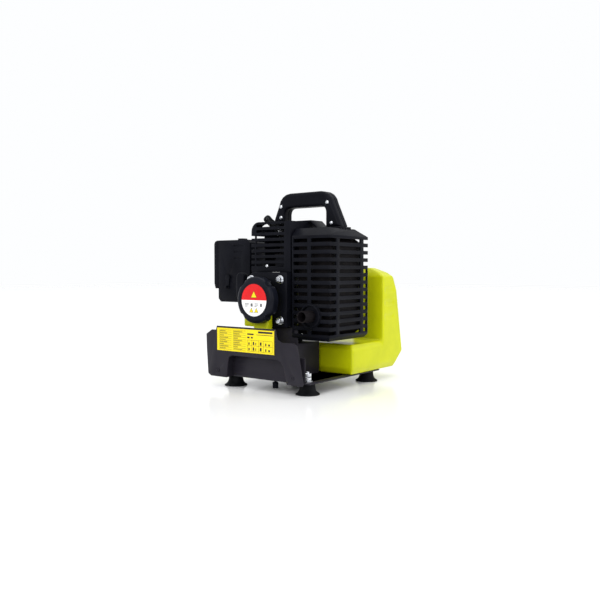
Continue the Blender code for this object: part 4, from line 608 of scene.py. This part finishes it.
def make_cap():
    """Screw cap with four finger hollows, and the two-colour disc glued into its face."""
    low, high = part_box("fuel_cap")
    rear = high[1]
    deep = (high[1] - low[1]) / MM
    base = Vector((CRANK.x, rear, CRANK.z))
    cap = turned("fuel_cap_body", base, FRONT,
                 [(27.8, deep - 3.0), (27.8, 0.0), (39.5, 0.0), (39.5, deep - 5.5), (39.2, deep - 3.6),
                  (38.2, deep - 2.2), (36.4, deep - 1.1), (34.0, deep - 0.35), (31.0, deep), (29.2, deep),
                  (28.9, deep - 0.4), (0.0, deep - 0.4)], 128)
    for quarter in range(4):
        angle = math.radians(45 + 90 * quarter)
        spot = base + 45 * MM * (RIGHT * math.cos(angle) + UP * math.sin(angle))
        cut_with(cap, turned("hollow", spot, FRONT, [(9.0, -3.0), (9.0, deep + 3.0)], 48))
    round_edges(cap, 0.9, 3, 45)
    settle(cap, 40)
    stands_for(cap, "fuel_cap", CAP_PLASTIC)

    face = low[1] + 0.4 * MM
    disc_mm, lift = 27.2, 0.35 * MM
    for name, upper, film in (("cap_disc_upper", True, RED_FILM), ("cap_disc_lower", False, WHITE_FILM)):
        half = turned(name, (CRANK.x, face, CRANK.z), FRONT, [(disc_mm, 0.0), (disc_mm, lift / MM)], 96)
        only(half)
        bpy.ops.object.mode_set(mode="EDIT")
        bpy.ops.mesh.select_all(action="SELECT")
        bpy.ops.mesh.bisect(plane_co=CRANK, plane_no=UP, use_fill=True,
                            clear_inner=upper, clear_outer=not upper)
        bpy.ops.object.mode_set(mode="OBJECT")
        settle(half, 30)
        finished(half, film, "fuel_cap", "black_plastic")
    front = face - lift
    thin = 0.06 * MM
    edges, marks = [], []
    for across, up, size in ((0.0, 8.0, 6.4), (-5.4, -18.0, 4.2), (5.4, -18.0, 4.2)):
        spot = Vector((CRANK.x + across * MM, front, CRANK.z + up * MM))
        edges.append(triangle_patch("cap_mark_edge", spot, (size + 1.3) * MM, thin))
        marks.append(triangle_patch("cap_mark", spot + FRONT * 0.05 * MM, size * MM, thin))
    bars = [strip("bar", CRANK.x + x * MM, CRANK.x + (x + w) * MM, CRANK.z + z * MM, CRANK.z + (z + h) * MM,
                  front, thin)
            for x, w, z, h in ((-20, 9, -6.4, 1.0), (-20, 9, -8.6, 1.0), (-20, 6, -10.8, 1.0),
                               (-7, 4.6, -10.8, 5.4), (1.5, 8, -6.4, 1.0), (1.5, 8, -8.6, 1.0),
                               (1.5, 5, -10.8, 1.0), (13.5, 4.6, -10.8, 5.4))]
    for name, parts, ink in (("cap_disc_edges", edges, OLIVE_INK), ("cap_disc_marks", marks, YELLOW_FILM),
                             ("cap_disc_bars", bars, GREY_INK)):
        piece = joined(name, parts)
        settle(piece, 30)
        finished(piece, ink, "fuel_cap", "black_plastic")


# ---------------------------------------------------------------- fan housing and starter
def make_fan_housing():
    housing = merged_copy("fan_housing", "fan_housing_moulding")
    round_edges(housing, 0.8)
    settle(housing)
    stands_for(housing, "fan_housing")


def make_housing_bolts():
    """Socket-head bolts: turned head with a six-sided recess, on a bright washer."""
    for number in range(1, 5):
        node = "housing_bolt_%d" % number
        low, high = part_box(node)
        centre = middle(node)
        spot = Vector((centre.x, low[1], centre.z))
        head = turned("head", spot, BACK, [(4.3, 0.0), (4.7, 0.3), (4.8, 0.8), (4.8, 5.8), (3.0, 5.8),
                                           (3.0, (high[1] - low[1]) / MM)], 48)
        cut_with(head, turned("recess", spot, BACK, [(2.4, -0.5), (2.4, 3.0)], 6))
        washer = turned("washer", spot, BACK,
                        [(3.1, 5.8), (6.8, 5.8), (7.0, 6.0), (7.0, 7.3), (3.1, 7.3)], 48)
        bolt = joined("clamp_" + node, [head, washer])
        settle(bolt, 30)
        stands_for(bolt, node)


def make_starter():
    """Soft pull grip, the eyelet that the rope leaves by, and the rope itself."""
    grip = merged_copy("starter_grip", "starter_grip_moulding")
    melt(grip, 0.7, 5)
    stands_for(grip, "starter_grip")
    rope = middle("starter_rope")
    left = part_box("fan_housing")[0][0]
    eyelet = turned("rope_eyelet", (left, rope.y, rope.z), -RIGHT,
                    [(2.4, -2.0), (5.2, -2.0), (5.2, 0.4), (4.8, 1.4), (3.9, 1.9), (3.0, 1.6),
                     (2.4, 0.6)], 48)
    settle(eyelet, 40)
    finished(eyelet, ZINC, "frame", "zinc_steel")
    in_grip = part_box("starter_grip")[1][0] - 3 * MM
    on_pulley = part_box("starter_rope")[1][0]
    reach = (on_pulley - in_grip) / MM
    cord = turned("starter_cord", (in_grip, rope.y, rope.z), RIGHT,
                  [(1.75, reach * i / 40) for i in range(41)], 20)
    settle(cord, 60)
    paint(cord, BRAID)
    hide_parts("starter_rope")
    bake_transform(cord)


def make_stop_button():
    low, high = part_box("stop_button")
    centre = middle("stop_button")
    long = (high[0] - low[0]) / MM
    button = turned("stop_button_cap", (low[0], centre.y, centre.z), RIGHT,
                    [(0.0, 0.0), (5.0, 0.15), (6.8, 0.6), (7.5, 1.4), (7.5, 3.0), (4.0, 3.0),
                     (4.0, long - 1.0), (3.0, long)], 48)
    settle(button, 40)
    stands_for(button, "stop_button")


# ---------------------------------------------------------------- covers, muffler and handle
def make_covers():
    """Engine cover, guard and handle base, with short vent teeth along two top edges."""
    cover_low, cover_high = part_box("engine_cover")
    guard_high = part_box("muffler_guard")[1]
    teeth = {"engine_cover": [], "muffler_guard": [], "handle_base": []}
    for i in range(9):
        x = cover_low.x + (20 + 6.4 * i) * MM
        teeth["engine_cover"].append(box_piece("gap", (x, cover_low.y - MM, cover_high.z - 2.4 * MM),
                                               (x + 3.2 * MM, cover_low.y + 1.9 * MM, cover_high.z + MM)))
    for i in range(6):
        y = guard_high.y - (34 + 7.5 * i) * MM
        teeth["muffler_guard"].append(box_piece("gap", (guard_high.x - 14.5 * MM, y, guard_high.z - 2.2 * MM),
                                                (guard_high.x - 9 * MM, y + 3.6 * MM, guard_high.z + MM)))
    for node, width in (("engine_cover", 0.5), ("muffler_guard", 0.6), ("handle_base", 0.8)):
        piece = merged_copy(node, node + "_moulding", plain=node == "handle_base")
        if teeth[node]:
            cut_with(piece, joined("gaps", teeth[node]))
        round_edges(piece, width)
        settle(piece)
        stands_for(piece, node)
    screw = pan_screw("cover_screw", (0.0171, cover_low.y, 0.2069), FRONT, 2.8, 1.6)
    finished(screw, ZINC, "frame", "zinc_steel")


def make_exhaust():
    """Tailpipe with a rolled mouth, and the smooth collar of the guard round it."""
    pipe_low, pipe_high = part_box("exhaust_pipe")
    centre = middle("exhaust_pipe")
    mouth = Vector((centre.x, pipe_low[1], centre.z))
    long = (pipe_high[1] - pipe_low[1]) / MM
    pipe = turned("exhaust_tailpipe", mouth, BACK,
                  [(8.0, long), (8.0, 0.8), (8.3, 0.2), (9.0, 0.0), (9.7, 0.2), (10.0, 0.8),
                   (10.0, long - 3.0), (15.0, long - 3.0), (15.0, long)], ROUND_STEPS)
    settle(pipe, 40)
    stands_for(pipe, "exhaust_pipe")
    guard_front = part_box("muffler_guard")[0][1]
    collar = turned("guard_collar", (centre.x, guard_front, centre.z), BACK,
                    [(17.15, 7.4), (17.15, 0.9), (17.6, 0.2), (18.5, -0.1), (19.4, 0.1), (20.1, 0.8),
                     (20.2, 1.8), (20.2, 4.3), (21.2, 4.8)])
    settle(collar, 40)
    finished(collar, NYLON, "frame", "black_plastic")


def make_handle():
    """Two rounded halves that meet in a fine seam, held by four bright screws in shallow wells."""
    for node in ("handle_front", "handle_rear"):
        half = merged_copy(node, node + "_grip")
        melt(half, 0.8, 6)
        stands_for(half, node)
    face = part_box("handle_front")[0][1]
    spots = ((0.0039, 0.3128), (0.0039, 0.2935), (0.1046, 0.3155), (0.1135, 0.2800))
    first = pan_screw("handle_screw_1", (spots[0][0], face + 0.5 * MM, spots[0][1]), FRONT, 3.3, 1.9)
    screws = [first]
    for number, (x, z) in enumerate(spots[1:], 2):
        screws.append(copied(first, "handle_screw_%d" % number, (x - spots[0][0], 0.0, z - spots[0][1])))
    for screw in screws:
        finished(screw, ZINC, "frame", "zinc_steel")


def make_spark_boot():
    """Moulded rubber boot with two finger ribs, leaning out of the head."""
    foot = Vector((0.0130, -0.0376, 0.262))
    tip = Vector((-0.0115, -0.0556, 0.2925))
    lean = tip - foot
    long = lean.length / MM
    boot = turned("plug_boot_moulding", foot, lean,
                  [(4.8, 12.6), (7.1, 12.6), (7.2, 14.0), (6.6, 18.0), (6.4, 22.0), (6.9, 23.0), (6.9, 24.2),
                   (6.3, 25.0), (6.3, 27.0), (6.9, 28.0), (6.9, 29.2), (6.4, long - 7.0), (7.0, long - 3.0),
                   (6.6, long), (5.2, long + 2.2), (2.6, long + 3.3), (0.0, long + 3.5)], 48)
    settle(boot, 60)
    stands_for(boot, "plug_boot")
    lead = merged_copy("ignition_lead", "ignition_lead_tube")
    apply(lead, "SUBSURF", levels=1, render_levels=1)
    settle(lead, 60)
    stands_for(lead, "ignition_lead")


# ---------------------------------------------------------------- intake side
def make_air_filter():
    for node, width in (("filter_housing", 0.7), ("filter_lid", 1.2), ("choke_lever", 0.4)):
        piece = merged_copy(node, node + "_moulding", plain=False)
        round_edges(piece, width)
        settle(piece)
        stands_for(piece, node)


def make_carburettor():
    for node, width in (("carburettor", 0.5), ("intake_insulator", 0.4), ("throttle_lever", 0.3)):
        piece = merged_copy(node, node + "_part")
        round_edges(piece, width)
        settle(piece)
        stands_for(piece, node)
    low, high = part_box("primer_bulb")
    centre = middle("primer_bulb")
    bulb = turned("primer_dome", (centre.x, high[1], centre.z), FRONT,
                  [(6.0, 0.0), (7.0, 1.0), (7.0, 3.3), (6.6, 5.2), (5.9, 6.9), (4.8, 8.3), (3.3, 9.4),
                   (1.6, 9.9), (0.0, 10.0)], 48)
    settle(bulb, 60)
    stands_for(bulb, "primer_bulb")
    line = merged_copy("fuel_line", "fuel_hose")
    apply(line, "SUBSURF", levels=1, render_levels=1)
    settle(line, 60)
    stands_for(line, "fuel_line")


def make_drain_knob():
    low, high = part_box("drain_knob")
    centre = middle("drain_knob")
    knob = turned("drain_knob_turned", (centre.x, centre.y, low[2]), UP,
                  [(4.2, 0.0), (4.9, 0.5), (5.0, 1.2), (5.0, 4.6), (4.4, 5.2), (5.0, 5.8), (5.0, 9.2),
                   (4.2, 10.4), (2.0, 11.0), (2.0, (high[2] - low[2]) / MM)], SMALL_STEPS)
    settle(knob, 40)
    stands_for(knob, "drain_knob")


# ---------------------------------------------------------------- pump
def make_pump():
    """Cast volute with its backplate, and four hexagon bolts round its flange."""
    for node in ("pump_volute", "pump_backplate"):
        piece = merged_copy(node, node + "_casting")
        round_edges(piece, 0.6, 2, 35)
        settle(piece, 40)
        stands_for(piece, node)
    axis = middle("pump_backplate")
    reach = 45.5 * MM / math.sqrt(2)
    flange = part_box("pump_volute")[0][1] + 5.5 * MM
    first = None
    for number, (sx, sz) in enumerate(((-1, -1), (1, -1), (-1, 1), (1, 1)), 1):
        spot = Vector((axis.x + sx * reach, flange, axis.z + sz * reach))
        name = "pump_bolt_%d" % number
        if first is None:
            washer = turned("washer", spot, BACK,
                            [(2.5, 0.0), (5.4, 0.0), (5.5, 0.3), (5.5, 1.1), (2.5, 1.1)], SMALL_STEPS)
            head = turned("head", spot, BACK, [(4.4, 1.1), (4.9, 1.5), (4.9, 4.2), (4.4, 4.7), (0.0, 4.7)], 6)
            first_spot = spot
            first = bolt = joined(name, [washer, head])
            settle(bolt, 25)
        else:
            bolt = copied(first, name, spot - first_spot)
        finished(bolt, ZINC, "frame", "zinc_steel")
    plug = merged_copy("priming_plug", "priming_plug_part")
    round_edges(plug, 0.6)
    settle(plug)
    stands_for(plug, "priming_plug")


# ---------------------------------------------------------------- nodes that keep their own shape
def finish_remaining_nodes():
    """Each node still shown gets its slot's finish; turned steel is ground, and the cast-aluminium cylinder
    takes the near-black heat-darkened steel as painted shade for the shade inside the covers.
    """
    ground = {"crankshaft", "crank_bearing_front", "crank_bearing_rear", "piston", "recoil_spring"}
    own = {node: GROUND for node in ground}
    # Painted shade: the cylinder's own metal is cast aluminium; its near-black finish stands for the shade
    # that it sits in inside the covers.
    own["cylinder"] = HOT_STEEL
    for name, node in frame["nodes"].items():
        if not node.hide_render:
            material = own.get(name, FINISHES[SLOT_OF[name]])
            node.data.materials.clear()
            node.data.materials.append(material)


bpy.ops.object.select_all(action="DESELECT")
make_camera()
make_light()
make_floor()
for make in (make_feet, make_foot_studs, make_front_plate, make_data_plate, make_steelwork, make_tank,
             make_cap, make_fan_housing, make_housing_bolts, make_starter, make_stop_button, make_covers,
             make_exhaust, make_handle, make_spark_boot, make_air_filter, make_carburettor, make_drain_knob,
             make_pump):
    make()
finish_remaining_nodes()
